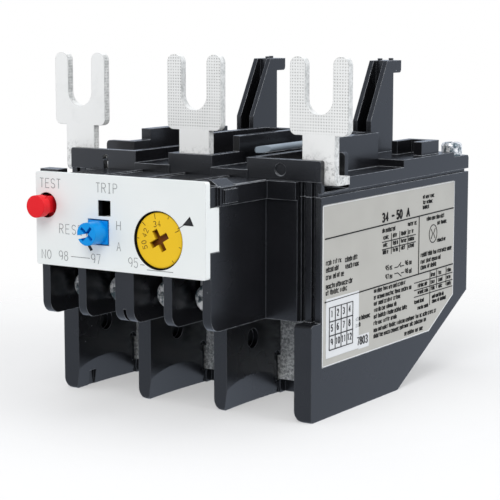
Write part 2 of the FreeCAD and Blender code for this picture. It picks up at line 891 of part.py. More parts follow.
def load_screw_set():
    screws = []
    washers = []
    seat = plate_front_y + seat_gap
    for i in phases:
        xc = i * phase_pitch
        head_y = seat - load_washer_t - load_head_h
        under = seat - load_washer_t
        profile = eased_rim(load_head_r, 0.9, head_y, 1)
        profile += [(load_head_r, under), (load_screw_r, under),
                    (load_screw_r, seat + load_screw_len), (0, seat + load_screw_len)]
        screw = turned_y(xc, load_screw_z, profile)
        arm = 0.6 * load_head_r
        slots = [
            box(xc - arm, xc + arm, head_y - 1, head_y + 1.4, load_screw_z - 0.55, load_screw_z + 0.55),
            box(xc - 0.55, xc + 0.55, head_y - 1, head_y + 1.4, load_screw_z - arm, load_screw_z + arm),
        ]
        screws.append(screw.cut(slots[0]).cut(slots[1]))
        ring = rod_y(xc, load_screw_z, load_washer_r, seat - load_washer_t, seat)
        bore = rod_y(xc, load_screw_z, load_screw_r + seat_gap, seat - 3, seat + 1)
        washers.append(ring.cut(bore))
    return Part.makeCompound(screws), Part.makeCompound(washers)


# --- heaters and bimetals ------------------------------------------------------------------------------------
def heater(i):
    """Flat meander strip from the conductor's drop to the load plate's tongue."""
    xc = i * phase_pitch
    x0 = xc + heater_x
    x1 = x0 + heater_t
    foot_z = tongue_z + tongue_t
    front = bimetal_front_y + 1.0
    rear = drop_y
    top = drop_z + 3.0
    w = heater_strip
    pitch = (top - foot_z - w) / (2 * heater_turns)
    strips = []
    for n in range(2 * heater_turns + 1):
        z = foot_z + n * pitch
        strips.append(box(x0, x1, front, rear if n == 2 * heater_turns else rear - 1.5, z, z + w))
        if n < 2 * heater_turns:
            at_rear = n % 2 == 0
            y0 = rear - 1.5 - w if at_rear else front
            strips.append(box(x0, x1, y0, y0 + w, z, z + pitch + w))
    return fuse(strips)


def bimetal(i):
    xc = i * phase_pitch
    half = bimetal_t / 2
    rear = bimetal_front_y + bimetal_w
    strip = box(xc - half, xc + half, bimetal_front_y, rear,
                bimetal_pivot_z - bimetal_root, bimetal_top_z)
    for y in (bimetal_front_y, rear):
        strip = round_edges(strip, 1.5, runs_x_any(y, bimetal_top_z))
    return strip


def runs_x_any(y, z):
    def test(low, high):
        at_y = near(low.y, y) and near(high.y, y)
        at_z = near(low.z, z) and near(high.z, z)
        return at_y and at_z
    return test


def bimetal_bracket(i):
    """U-shaped clamp that holds the foot of one bimetal."""
    xc = i * phase_pitch
    rear = bimetal_front_y + bimetal_w
    base_z = tongue_z + tongue_t
    block = box(xc - bracket_half, xc + bracket_half, bimetal_front_y, rear, base_z, bracket_ear_z)
    gap = bracket_half - bracket_wall
    slot = box(xc - gap, xc + gap, bimetal_front_y - 1, rear + 1,
               bimetal_pivot_z - bimetal_root - slide_gap, bracket_ear_z + 1)
    return block.cut(slot)


# --- push bar mechanism ------------------------------------------------------------------------------------------
def push_bar():
    y1 = push_bar_y + bar_t
    parts = [box(bar_x0, bar_x1, push_bar_y, y1, bar_z, push_bar_top)]
    for i in phases:
        x0 = i * phase_pitch + bimetal_t / 2 + slide_gap
        parts.append(box(x0, x0 + finger_t, push_bar_y, finger_end_y, push_bar_top - finger_h, push_bar_top))
    post_x1 = comp_x - comp_t / 2 - slide_gap
    parts.append(box(post_x1 - finger_t, post_x1, push_bar_y, y1, bar_z, comp_z1 - 0.5))
    lever_z = pull_bar_top + slide_gap
    parts.append(box(bar_x1 - 2.4, bar_x1, push_bar_y, y1, bar_z, lever_z))
    return fuse(parts)


def pull_bar():
    y1 = pull_bar_y + bar_t
    parts = [box(bar_x0, bar_x1, pull_bar_y, y1, bar_z, push_bar_top)]
    for i in phases:
        x1 = i * phase_pitch - bimetal_t / 2 - slide_gap
        parts.append(box(x1 - finger_t, x1, pull_bar_y, finger_end_y,
                         push_bar_top + slide_gap + 0.5, pull_bar_top))
        parts.append(box(x1 - finger_t, x1, pull_bar_y, y1, bar_z, pull_bar_top))
    return fuse(parts)


def differential_lever():
    z0 = pull_bar_top + slide_gap
    x = bar_x1 - 1.2
    plate = box(x - 1.2, x + 1.2, pull_bar_y - 0.6, push_bar_y + bar_t + 0.6, z0, z0 + diff_lever_t)
    pin_y = pull_bar_y + bar_t / 2
    arm = rod_z(x, pin_y, 0.7, push_bar_top + slide_gap, z0 + 0.2)
    return plate.fuse(arm).removeSplitter()


def compensation_lever():
    half = comp_t / 2
    strip = box(comp_x - half, comp_x + half, comp_front_y, comp_rear_y, comp_z0, comp_z1)
    eye = rod_z(comp_x, comp_pivot_y, comp_eye_r, comp_z0, comp_z1)
    bore = rod_z(comp_x, comp_pivot_y, comp_pin_r + shaft_gap, comp_z0 - 1, comp_z1 + 1)
    return strip.fuse(eye).cut(bore).removeSplitter()


def compensation_pin():
    return rod_z(comp_x, comp_pivot_y, comp_pin_r, comp_z0 - 6.0, parting_z)


# --- control housing -----------------------------------------------------------------------------------------------
def aux_wall_plate(x0, x1):
    """One barrier between auxiliary terminals, rounded at its lower front corner."""
    rear = front_wall_y - flange_t
    plate = box(x0, x1, aux_front_y, rear, aux_bottom_z, aux_floor_z + 0.5)
    return round_edges(plate, aux_corner_r, runs_x_at(aux_front_y, aux_bottom_z))


def aux_walls():
    x98 = aux_centres["98"]
    x97 = aux_centres["97"]
    x95 = aux_centres["95"]
    x96 = aux_centres["96"]
    left_mid = (x98 + x97) / 2
    right_mid = (x95 + x96) / 2
    spans = [
        (housing_x0, housing_x0 + aux_wall),
        (left_mid - aux_wall / 2, left_mid + aux_wall / 2),
        (centre_wall_x0, centre_wall_x0 + aux_wall),
        (centre_wall_x1 - aux_wall, centre_wall_x1),
        (right_mid - aux_wall / 2, right_mid + aux_wall / 2),
        (housing_x1 - aux_wall, housing_x1),
    ]
    web = box(centre_wall_x0 + 1, centre_wall_x1 - 1, aux_front_y, aux_front_y + 1.6,
              aux_bottom_z + aux_corner_r, aux_floor_z + 0.5)
    return [aux_wall_plate(a, b) for a, b in spans] + [web]


def bulkhead_cuts():
    y0 = bulkhead_y - 1
    y1 = bulkhead_y + bulkhead_t + 1
    reset_x = (reset_x0 + reset_x1) / 2
    reset_z = (reset_z0 + reset_z1) / 2
    play = lever_t / 2 + 0.7
    return [
        rod_y(test_x + test_inset, test_z, test_stem_r + shaft_gap, y0, y1),
        rod_y(reset_x, reset_z, reset_stem_r + shaft_gap, y0, y1),
        rod_y(dial_x, dial_z, dial_shaft_r + shaft_gap, y0, y1),
        box(flag_x0 - 0.4, flag_x1 + 0.4, y0, y1, flag_z0 - slide_travel - 0.4, flag_z1 + 1),
        box(lever_pin_x - play, lever_pin_x + play, y0, y1,
            dial_z - lever_low_h / 2 - slide_gap, dial_z + lever_low_h / 2 + slide_gap),
    ]


def top_lug():
    """Lug whose top slopes down to the right edge of the housing."""
    low = housing_top_z - lug_drop
    outline = [(housing_x1 - lug_w - 0.4, housing_top_z - 0.3), (housing_x1 - lug_w - 0.4, housing_top_z + lug_h),
               (housing_x1 - lug_w, housing_top_z + lug_h), (housing_x1, low), (housing_x1, low - 0.3)]
    return prism_y(outline, lug_y0, lug_y1)


def control_housing():
    rear = front_wall_y - flange_t
    outer = box(housing_x0, housing_x1, housing_front_y, rear, aux_floor_z, housing_top_z)
    inside = box(housing_x0 + housing_wall, housing_x1 - housing_wall, housing_front_y - 1, rear,
                 aux_floor_z + housing_wall, housing_top_z - housing_wall)
    flange = box(-flange_half, flange_half, rear, front_wall_y, aux_bottom_z, flange_top_z)
    band_x1 = housing_x1 + band_t
    band = box(housing_x0 - band_t, band_x1, housing_front_y + 2.6, rear, band_z, flange_top_z)
    band = band.fuse(box(-flange_half, flange_half, rear - band_t, rear, band_z, flange_top_z))
    band = band.cut(box(housing_x0 + 0.5, housing_x1 - 0.5, housing_front_y - 1, rear - band_t - 0.1,
                        band_z - 1, flange_top_z + 1))
    band = band.cut(box(housing_x0 + 0.5, housing_x1 - 0.5, rear - band_t - 1, rear + 0.0,
                        band_z - 1, flange_top_z + 1))
    pad = box(housing_x1 + band_t - 0.1, band_x1 + band_pad_t, housing_front_y + 3.6,
              housing_front_y + 8.0, band_z + 0.5, flange_top_z - 0.5)
    clip = box(housing_x0, housing_x0 + 4.6, housing_front_y, housing_front_y + 3.0,
               housing_top_z - 0.5, face_top_z + 0.5)
    top_ribs = [box(x, x + top_rib_w, housing_front_y + top_rib_inset, rear,
                    housing_top_z - 0.3, housing_top_z + top_rib_h)
                for x in (top_rib_x + i * top_rib_pitch for i in range(3))]
    cross = box(housing_x0, housing_x1, aux_back_y, aux_back_y + aux_back_t, aux_back_z, aux_floor_z + 0.5)
    bulkhead = box(housing_x0 + 0.5, housing_x1 - 0.5, bulkhead_y, bulkhead_y + bulkhead_t,
                   aux_floor_z + 0.5, housing_top_z - 0.5)
    for cut in bulkhead_cuts():
        bulkhead = bulkhead.cut(cut)
    shell = outer.cut(inside)
    parts = [flange, band, pad, clip, cross, bulkhead, top_lug()] + top_ribs + aux_walls() + lever_pin()
    shell = shell.cut(box(housing_x1 - lug_w, housing_x1 + 1, lug_y0, lug_y1, housing_top_z - lug_drop, housing_top_z + 1))
    body = shell.multiFuse(parts)
    cuts = []
    for x in aux_centres.values():
        half = aux_strip_half + seat_gap
        cuts.append(box(x - half, x + half, aux_strip_y - seat_gap,
                        aux_strip_y + aux_strip_t + seat_gap,
                        aux_floor_z - 1, aux_floor_z + housing_wall + 0.5))
    slot_x0 = comp_x - comp_t / 2 - 2.2
    slot_x1 = comp_x + comp_t / 2 + slide_gap
    cuts.append(box(slot_x0, slot_x1, rear - 1, front_wall_y + 1, comp_z0 - slide_gap, comp_z1 + slide_gap))
    tab_end = face_front_y + face_tab_depth + seat_gap
    for x0, x1, top in ((housing_x1 - face_tab_t - seat_gap, housing_x1 + 1, face_tab_z1),
                        (housing_x0 - 1, housing_x0 + face_tab_t + seat_gap, face_tab_left_z1)):
        cuts.append(box(x0, x1, housing_front_y - 1, tab_end, face_tab_z0 - seat_gap, top + seat_gap))
    cuts.append(rod_y(test_x, test_z, test_hole_r, housing_front_y - 1, test_relief_y))
    return body.cut(Part.makeCompound(cuts)).removeSplitter()


# --- faceplate ---------------------------------------------------------------------------------------------------------
def faceplate():
    plate = box(housing_x0, housing_x1, face_front_y, housing_front_y, face_bottom_z, face_top_z)
    for x in (housing_x0, housing_x1):
        for z in (face_bottom_z, face_top_z):
            plate = round_edges(plate, 0.5, runs_y_at(x, z))
    tabs = []
    for x0, top in ((housing_x0, face_tab_left_z1), (housing_x1 - face_tab_t, face_tab_z1)):
        tabs.append(box(x0, x0 + face_tab_t, face_front_y + 0.5, face_front_y + face_tab_depth,
                        face_tab_z0, top))
    plate = plate.multiFuse(tabs)
    y0 = face_front_y - 1
    y1 = housing_front_y + 1
    holes = [
        rod_y(dial_x, dial_z, dial_r + slide_gap, y0, y1),
        rod_y(test_x, test_z, test_hole_r, y0, y1),
        box(reset_x0, reset_x1, y0, y1, reset_z0, reset_z1),
        box(trip_x0, trip_x1, y0, y1, trip_z0, trip_z1),
    ]
    return plate.cut(Part.makeCompound(holes)).removeSplitter()


# --- setting dial and its lever ---------------------------------------------------------------------------------------------
def spiral_cam():
    """Cam whose radius grows evenly with angle, so the lever moves in step with the dial."""
    limit = dial_swing + cam_land
    steps = 18
    points = []
    for n in range(steps + 1):
        turn = math.radians(-limit + 2 * limit * n / steps)
        radius = cam_r_mid + cam_rise * turn
        angle = math.pi / 2 - turn
        points.append(V(dial_x + radius * math.sin(angle), cam_y0, dial_z + radius * math.cos(angle)))
    curve = Part.BSplineCurve()
    curve.interpolate(points)
    back = Part.LineSegment(points[-1], points[0])
    face = Part.Face(Part.Wire([curve.toShape(), back.toShape()]))
    return face.extrude(V(0, cam_y1 - cam_y0, 0))


def setting_dial():
    front = face_front_y + dial_recess
    back = front + dial_t
    end = bulkhead_y + bulkhead_t + 0.5
    profile = eased_rim(dial_r, 0.3, front, 1)
    profile += [(dial_r, back), (dial_shaft_r, back), (dial_shaft_r, end), (0, end)]
    body = turned_y(dial_x, dial_z, profile).fuse(spiral_cam())
    half = cross_w / 2
    arm = cross_len / 2
    cross = box(-half, half, front - 1, front + cross_depth, -arm, arm)
    cross = cross.fuse(box(-arm, arm, front - 1, front + cross_depth, -half, half))
    cross.rotate(V(0, 0, 0), Y_AXIS, -30)
    cross.translate(V(dial_x, 0, dial_z))
    return body.cut(cross).removeSplitter()


def adjusting_lever():
    """Two-armed lever: the cam moves its low front arm, the high rear arm is a stop."""
    half = lever_t / 2
    low_z0 = dial_z - lever_low_h / 2
    low_z1 = dial_z + lever_low_h / 2
    high_z1 = lever_high_z + lever_high_h
    nose_x = dial_x + cam_r_mid + slide_gap + lever_nose_r
    mid_y = (cam_y0 + cam_y1) / 2
    nose = rod_z(nose_x, mid_y, lever_nose_r, low_z0, low_z1)
    toe = box(nose_x, lever_pin_x + half, mid_y - 0.6, mid_y + 0.6, low_z0, low_z1)
    front = box(lever_pin_x - half, lever_pin_x + half, mid_y - 0.6, lever_pin_y, low_z0, low_z1)
    rear = box(lever_pin_x, lever_pin_x + lever_t, lever_pin_y, lever_end_y, lever_high_z, high_z1)
    hub = rod_z(lever_pin_x, lever_pin_y, lever_hub_r, low_z0, high_z1)
    bore = rod_z(lever_pin_x, lever_pin_y, lever_pin_r + shaft_gap, low_z0 - 1, high_z1 + 1)
    return nose.multiFuse([toe, front, rear, hub]).cut(bore).removeSplitter()


def lever_pin():
    """Moulded pin that stands on the housing floor."""
    top = lever_high_z + lever_high_h + 0.6
    pin = rod_z(lever_pin_x, lever_pin_y, lever_pin_r, aux_floor_z + housing_wall - 0.2, top)
    foot = rod_z(lever_pin_x, lever_pin_y, lever_hub_r, aux_floor_z + housing_wall - 0.2,
                 dial_z - lever_low_h / 2 - slide_gap)
    return [pin, foot]


# --- buttons -------------------------------------------------------------------------------------------------------------------
def test_button():
    front = face_front_y - test_front
    shoulder_y = housing_front_y + 0.2
    back = shoulder_y + shoulder_t
    cap = turned_y(test_x, test_z, eased_rim(test_r, 0.35, front, 1) + [(test_r, back), (0, back)])
    shoulder = rod_y(test_x, test_z, test_hole_r + shoulder_over, shoulder_y, shoulder_y + shoulder_t)
    limit = box(housing_x0 + housing_wall + 0.2, test_x + 5, front, 0, test_z - 5, test_z + 5)
    shoulder = shoulder.common(limit)
    cap_back = rod_y(test_x + test_inset, test_z, test_r, shoulder_y, shoulder_y + shoulder_t)
    stem = rod_y(test_x + test_inset, test_z, test_stem_r, shoulder_y,
                 bulkhead_y + bulkhead_t + 0.3)
    cap = cap.cut(box(test_x - 5, housing_x0 + housing_wall + 0.2, housing_front_y - 0.1, 0,
                      test_z - 5, test_z + 5))
    return fuse([cap, shoulder, cap_back, stem])


def reset_plunger():
    g = 0.25
    xm = (reset_x0 + reset_x1) / 2
    zm = (reset_z0 + reset_z1) / 2
    front = face_front_y - reset_block_front
    shoulder_y = housing_front_y + 0.2
    block = box(reset_x0 + g, reset_x1 - g, front, shoulder_y + shoulder_t, reset_z0 + g, reset_z1 - g)
    shoulder = box(reset_x0 - shoulder_over, reset_x1 + shoulder_over, shoulder_y,
                   shoulder_y + shoulder_t, reset_z0 - shoulder_over, reset_z1 + shoulder_over - 0.3)
    stem = rod_y(xm, zm, reset_stem_r, shoulder_y, bulkhead_y + bulkhead_t + 0.1)
    bore = rod_y(xm, zm, knob_pin_r + shaft_gap, front - 1, front + knob_pin_len + 0.3)
    return fuse([block, shoulder, stem]).cut(bore)


def reset_knob():
    """Round knob with a screwdriver slot and an arrow notch, set for hand or automatic reset."""
    xm = (reset_x0 + reset_x1) / 2
    zm = (reset_z0 + reset_z1) / 2
    back = face_front_y - reset_block_front
    front = back - knob_t
    head = turned_y(xm, zm, eased_rim(knob_r, 0.3, front, 1) + [(knob_r, back), (0, back)])
    pin = rod_y(xm, zm, knob_pin_r, back - 0.5, back + knob_pin_len)
    slot = box(-knob_r - 1, knob_r + 1, front - 1, front + 1.5, -0.55, 0.55)
    notch = box(-0.7, 0.7, front - 1, back - 0.6, -knob_r - 1, -knob_r + 1.0)
    tool = slot.fuse(notch)
    tool.rotate(V(0, 0, 0), Y_AXIS, 25)
    tool.translate(V(xm, 0, zm))
    return head.fuse(pin).cut(tool).removeSplitter()


def coil_spring(x, z, y0, y1):
    """Compression spring along Y between two seats, its wire drawn in short straight runs."""
    low = y0 + spring_wire_r + seat_gap / 2
    high = y1 - spring_wire_r - seat_gap / 2
    stations = spring_turns * spring_steps
    rings = []
    for n in range(stations + 1):
        around = 2 * math.pi * n / spring_steps
        y = low + (high - low) * n / stations
        ring = []
        for k in range(spring_sides):
            turn = 2 * math.pi * (k + 0.5) / spring_sides
            radius = spring_mean_r + spring_wire_r * math.cos(turn)
            ring.append(V(x + radius * math.cos(around), y + spring_wire_r * math.sin(turn),
                          z + radius * math.sin(around)))
        rings.append(ring)
    faces = [flat_face(rings[0]), flat_face(rings[-1])]
    for ring, after in zip(rings, rings[1:]):
        for k in range(spring_sides):
            m = (k + 1) % spring_sides
            faces.append(flat_face([ring[k], ring[m], after[m]]))
            faces.append(flat_face([ring[k], after[m], after[k]]))
    return Part.Solid(Part.Shell(faces))


def flat_face(corners):
    return Part.Face(Part.makePolygon(corners + corners[:1]))


# --- auxiliary terminals and contacts ------------------------------------------------------------------------------------------------
def aux_terminal(name):
    """Terminal strip: screw tab below, contact arm with a rivet above."""
    x = aux_centres[name]
    half = aux_strip_half
    y0 = aux_strip_y
    y1 = aux_strip_y + aux_strip_t
    normally_open = name in ("97", "98")
    tab = box(x - half, x + half, y0, y1, aux_back_z + 0.3, aux_floor_z + housing_wall)
    hole = rod_y(x, aux_screw_z, aux_screw_r + seat_gap, y0 - 1, y1 + 1)
    top = no_arm_top if normally_open else nc_arm_z + arm_t
    neck = box(x - contact_half, x + contact_half, y0, y1, aux_floor_z, top)
    arm = box(x - contact_half, x + contact_half, y0, slide_y1, top - arm_t, top)
    rivet_y = (slide_y0 + slide_y1) / 2
    if normally_open:
        rivet = rod_z(x, rivet_y, rivet_r, top - 0.1, top + rivet_h)
    else:
        rivet = rod_z(x, rivet_y, rivet_r, top - arm_t - rivet_h, top - arm_t + 0.1)
    return tab.cut(hole).multiFuse([neck, arm, rivet]).removeSplitter()


def aux_screw_set():
    screws = []
    washers = []
    for x in aux_centres.values():
        seat = aux_strip_y
        washer_y = seat - aux_washer_t
        head_y = washer_y - aux_head_h
        tip_y = seat + aux_strip_t + 0.8
        profile = eased_rim(aux_head_r, 0.7, head_y, 1)
        profile += [(aux_head_r, washer_y), (aux_screw_r, washer_y), (aux_screw_r, tip_y), (0, tip_y)]
        screw = turned_y(x, aux_screw_z, profile)
        arm = 1.9
        slots = [
            box(x - arm, x + arm, head_y - 1, head_y + 1.1, aux_screw_z - 0.4, aux_screw_z + 0.4),
            box(x - 0.4, x + 0.4, head_y - 1, head_y + 1.1, aux_screw_z - arm, aux_screw_z + arm),
        ]
        screws.append(screw.cut(slots[0]).cut(slots[1]))
        plate = box(x - aux_washer_half, x + aux_washer_half, washer_y, seat,
                    aux_screw_z - aux_washer_half + 0.4, aux_screw_z + aux_washer_half)
        bore = rod_y(x, aux_screw_z, aux_screw_r + seat_gap, washer_y - 1, seat + 1)
        washers.append(plate.cut(bore))
    return Part.makeCompound(screws), Part.makeCompound(washers)


def contact_slide():
    """Moulded carrier with the trip flag in front and posts for both bridges."""
    nc_x = (aux_centres["95"] + aux_centres["96"]) / 2
    no_x = (aux_centres["97"] + aux_centres["98"]) / 2
    bar = box(no_x - 2.5, nc_x + 2.2, slide_y0, slide_y1, slide_z0, slide_z1)
    nc_post = box(nc_x - 1.2, nc_x + 1.2, slide_y0 + 0.5, slide_y1 - 0.5, nc_bridge_z() + arm_t, slide_z0 + 0.5)
    no_post = box(no_x - 1.2, no_x + 1.2, slide_y0 + 0.5, slide_y1 - 0.5, no_bridge_z() + arm_t, slide_z0 + 0.5)
    arm = box(flag_x0, flag_x1, housing_front_y + 0.5, slide_y1, flag_z0, flag_z1)
    return fuse([bar, nc_post, no_post, arm])


def nc_bridge_z():
    """Underside of the closed bridge, whose rivets meet the fixed rivets from below."""
    return nc_arm_z - rivet_h - contact_gap - rivet_h - arm_t


def no_bridge_z():
    """Underside of the open bridge, one slide travel above its fixed rivets."""
    return no_arm_top + rivet_h + contact_gap + slide_travel + rivet_h


def bridge(names, z, rivets_up):
    xs = [aux_centres[n] for n in names]
    y = (slide_y0 + slide_y1) / 2
    bar = box(min(xs) - rivet_r, max(xs) + rivet_r, y - rivet_r, y + rivet_r, z, z + arm_t)
    parts = [bar]
    for x in xs:
        if rivets_up:
            parts.append(rod_z(x, y, rivet_r, z + arm_t - 0.1, z + arm_t + rivet_h))
        else:
            parts.append(rod_z(x, y, rivet_r, z - rivet_h, z + 0.1))
    return fuse(parts)


def trip_spring():
    """Flat over-centre spring that snaps the contact slide."""
    x0 = -1.5
    y = slide_y0 - 0.3
    z0 = aux_floor_z + housing_wall
    points = []
    steps = 6
    for n in range(steps + 1):
        part = n / steps
        points.append((x0 + 1.1 * math.sin(math.pi * part), z0 + part * (slide_z0 - z0)))
    thick = 0.35
    outline = points + [(x + thick, z) for x, z in reversed(points)]
    return prism_y(outline, y + 0.6, y + 2.8)


# --- assembly ---------------------------------------------------------------------------------------------------------------------------
def build():
    nodes = {
        "main_casing": main_casing(),
        "top_cover": top_cover(),
        "control_housing": control_housing(),
        "faceplate": faceplate(),
        "rating_label": rating_label(),
        "label_sticker": label_sticker(),
        "gap_bar": gap_bar(),
        "push_bar": push_bar(),
        "pull_bar": pull_bar(),
        "differential_lever": differential_lever(),
        "compensation_lever": compensation_lever(),
        "compensation_pin": compensation_pin(),
        "setting_dial": setting_dial(),
        "adjusting_lever": adjusting_lever(),
        "test_button": test_button(),
        "reset_plunger": reset_plunger(),
        "reset_knob": reset_knob(),
        "contact_slide": contact_slide(),
        "nc_bridge": bridge(("95", "96"), nc_bridge_z(), True),
        "no_bridge": bridge(("97", "98"), no_bridge_z(), False),
        "trip_spring": trip_spring(),
    }
    nodes["cover_screws"], nodes["cover_washers"] = cover_screw_set()
    nodes["load_screws"], nodes["load_washers"] = load_screw_set()
    nodes["aux_screws"], nodes["aux_washers"] = aux_screw_set()
    for i in phases:
        n = str(i + 2)
        nodes["line_conductor_" + n] = line_conductor(i)
        nodes["load_plate_" + n] = load_plate(i)
        nodes["heater_" + n] = heater(i)
        nodes["bimetal_" + n] = bimetal(i)
        nodes["bimetal_bracket_" + n] = bimetal_bracket(i)
    for name in aux_centres:
        nodes["aux_terminal_" + name] = aux_terminal(name)
    seat = housing_front_y + 0.2 + shoulder_t
    nodes["test_spring"] = coil_spring(test_x + test_inset, test_z, seat, bulkhead_y)
    reset_x = (reset_x0 + reset_x1) / 2
    reset_z = (reset_z0 + reset_z1) / 2
    nodes["reset_spring"] = coil_spring(reset_x, reset_z, seat, bulkhead_y)
    return nodes


def main():
    os.makedirs("parts", exist_ok=True)
    for name, shape in build().items():
        shape.translate(V(0, -mid_y, 0))
        shape.exportStep("parts/" + name + ".step")
        box_now = shape.BoundBox
        print(name, len(shape.Solids), shape.isValid(), round(shape.Volume, 1),
              [round(v, 2) for v in (box_now.XMin, box_now.XMax, box_now.YMin, box_now.YMax,
                                     box_now.ZMin, box_now.ZMax)])


main()
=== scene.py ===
"""Looks for the thermal overload relay: materials, lettering, small trim, lights and camera."""
import json
import math
import bpy
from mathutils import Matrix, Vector

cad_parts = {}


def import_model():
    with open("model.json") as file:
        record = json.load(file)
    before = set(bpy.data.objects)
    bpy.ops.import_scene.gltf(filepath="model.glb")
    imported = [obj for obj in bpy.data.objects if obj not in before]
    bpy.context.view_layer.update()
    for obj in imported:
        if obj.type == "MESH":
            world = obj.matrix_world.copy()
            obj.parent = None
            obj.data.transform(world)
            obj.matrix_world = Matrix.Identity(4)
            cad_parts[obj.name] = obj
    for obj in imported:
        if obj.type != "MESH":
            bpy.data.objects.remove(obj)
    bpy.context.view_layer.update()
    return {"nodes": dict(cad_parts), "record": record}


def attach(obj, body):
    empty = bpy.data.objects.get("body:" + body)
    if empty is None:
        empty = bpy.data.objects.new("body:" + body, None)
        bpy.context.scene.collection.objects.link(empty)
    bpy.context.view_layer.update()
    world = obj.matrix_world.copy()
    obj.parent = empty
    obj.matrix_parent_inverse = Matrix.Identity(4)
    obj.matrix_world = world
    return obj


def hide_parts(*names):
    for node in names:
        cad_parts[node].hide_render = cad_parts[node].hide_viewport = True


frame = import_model()

MM = 0.001                      # the numbers below are in mm
SHIFT_Y = 19.05                 # datum of the part's source to the frame
PANEL_Y = -23.6                 # front of the faceplate, from the forks' front
DIAL_Y = PANEL_Y + 0.35         # front of the dial, which lies a little deeper
DIAL = (7.75, 37.45)            # centre of the dial, x and z
TEST = (-20.15, 42.75)          # centre of the test button
WINDOW = (-6.95, 43.6)          # centre of the trip window
KNOB = (-6.95, 38.1)            # centre of the reset knob
KNOB_R = 2.3
KNOB_BACK = PANEL_Y - 0.2
KNOB_FRONT = KNOB_BACK - 3.7
TEST_R = 2.27                   # head of the test button
TEST_LEFT = -21.15              # its neck stays clear of the housing's side wall
SIDE_X = 31.43                  # face of the side label
STICKER_X = SIDE_X + 0.12       # face of the sticker on it
BODY = "relay_base"             # every fixed piece rides on this body

# Surface sizes shared by the materials, in metres.
EDGE = 0.0002                   # rounding that the bevelled normals show
BLACK_EDGE = 0.00022
GRAIN = 900.0                   # noise scale of a moulded surface
GRAIN_DEPTH = 0.00002
GRAIN_STRENGTH = 0.35
DOT_PITCH = 0.000605            # grid of dents on the line forks


def at(x, y, z):
    """A point given in mm from the forks' front face, in frame metres."""
    return Vector((x * MM, (y - SHIFT_Y) * MM, z * MM))


# --- material helpers -------------------------------------------------------
class Shader:
    """A principled material with a few shorthand ways to wire procedural nodes."""

    def __init__(self, name, base, rough=0.5, metal=0.0, specular=0.5):
        self.mat = bpy.data.materials.new(name)
        self.mat.use_nodes = True
        self.tree = self.mat.node_tree
        self.bsdf = self.tree.nodes["Principled BSDF"]
        self.set("Base Color", (*base, 1.0))
        self.set("Roughness", rough)
        self.set("Metallic", metal)
        self.set("Specular IOR Level", specular)
        self.coords = self.node("ShaderNodeTexCoord").outputs["Object"]

    def set(self, socket, value):
        self.bsdf.inputs[socket].default_value = value

    def node(self, kind, **props):
        n = self.tree.nodes.new(kind)
        for key, value in props.items():
            setattr(n, key, value)
        return n

    def link(self, a, b):
        self.tree.links.new(a, b)

    def math(self, op, a, b=None):
        n = self.node("ShaderNodeMath", operation=op)
        for i, v in enumerate((a, b)):
            if v is None:
                continue
            if isinstance(v, (int, float)):
                n.inputs[i].default_value = v
            else:
                self.link(v, n.inputs[i])
        return n.outputs[0]

    def distance(self, a, b):
        """Length of the flat vector (a, b)."""
        squares = [self.math("MULTIPLY", v, v) for v in (a, b)]
        return self.math("SQRT", self.math("ADD", *squares))

    def noise(self, scale, detail=3.0, rough=0.55):
        n = self.node("ShaderNodeTexNoise")
        n.inputs["Scale"].default_value = scale
        n.inputs["Detail"].default_value = detail
        n.inputs["Roughness"].default_value = rough
        self.link(self.coords, n.inputs["Vector"])
        return n.outputs["Fac"]

    def voronoi(self, scale):
        n = self.node("ShaderNodeTexVoronoi", feature="F1")
        n.inputs["Scale"].default_value = scale
        self.link(self.coords, n.inputs["Vector"])
        return n

    def ramp(self, value, low, high, a=0.0, b=1.0):
        n = self.node("ShaderNodeMapRange", clamp=True)
        n.inputs["From Min"].default_value = low
        n.inputs["From Max"].default_value = high
        n.inputs["To Min"].default_value = a
        n.inputs["To Max"].default_value = b
        self.link(value, n.inputs["Value"])
        return n.outputs["Result"]

    def mix(self, factor, a, b):
        n = self.node("ShaderNodeMix", data_type="RGBA")
        self.link(factor, n.inputs["Factor"])
        for value, socket in ((a, n.inputs[6]), (b, n.inputs[7])):
            if isinstance(value, tuple):
                socket.default_value = (*value, 1.0)
            else:
                self.link(value, socket)
        return n.outputs[2]

    def axes(self):
        n = self.node("ShaderNodeSeparateXYZ")
        self.link(self.coords, n.inputs[0])
        return n.outputs

    def colour(self, value):
        self.link(value, self.bsdf.inputs["Base Color"])

    def roughness(self, value):
        self.link(value, self.bsdf.inputs["Roughness"])

    def bump(self, height, distance, strength, edge):
        n = self.node("ShaderNodeBump")
        n.inputs["Distance"].default_value = distance
        n.inputs["Strength"].default_value = strength
        self.link(height, n.inputs["Height"])
        self.link(self.edge_normal(edge), n.inputs["Normal"])
        self.link(n.outputs["Normal"], self.bsdf.inputs["Normal"])

    def edge_normal(self, radius):
        n = self.node("ShaderNodeBevel", samples=6)
        n.inputs["Radius"].default_value = radius
        return n.outputs["Normal"]

    def edge_mask(self, radius):
        """1 on sharp edges, 0 on flats, from the bevelled and the true normal."""
        geometry = self.node("ShaderNodeNewGeometry")
        dot = self.node("ShaderNodeVectorMath", operation="DOT_PRODUCT")
        self.link(self.edge_normal(radius), dot.inputs[0])
        self.link(geometry.outputs["Normal"], dot.inputs[1])
        return self.ramp(dot.outputs["Value"], 0.99, 0.80)


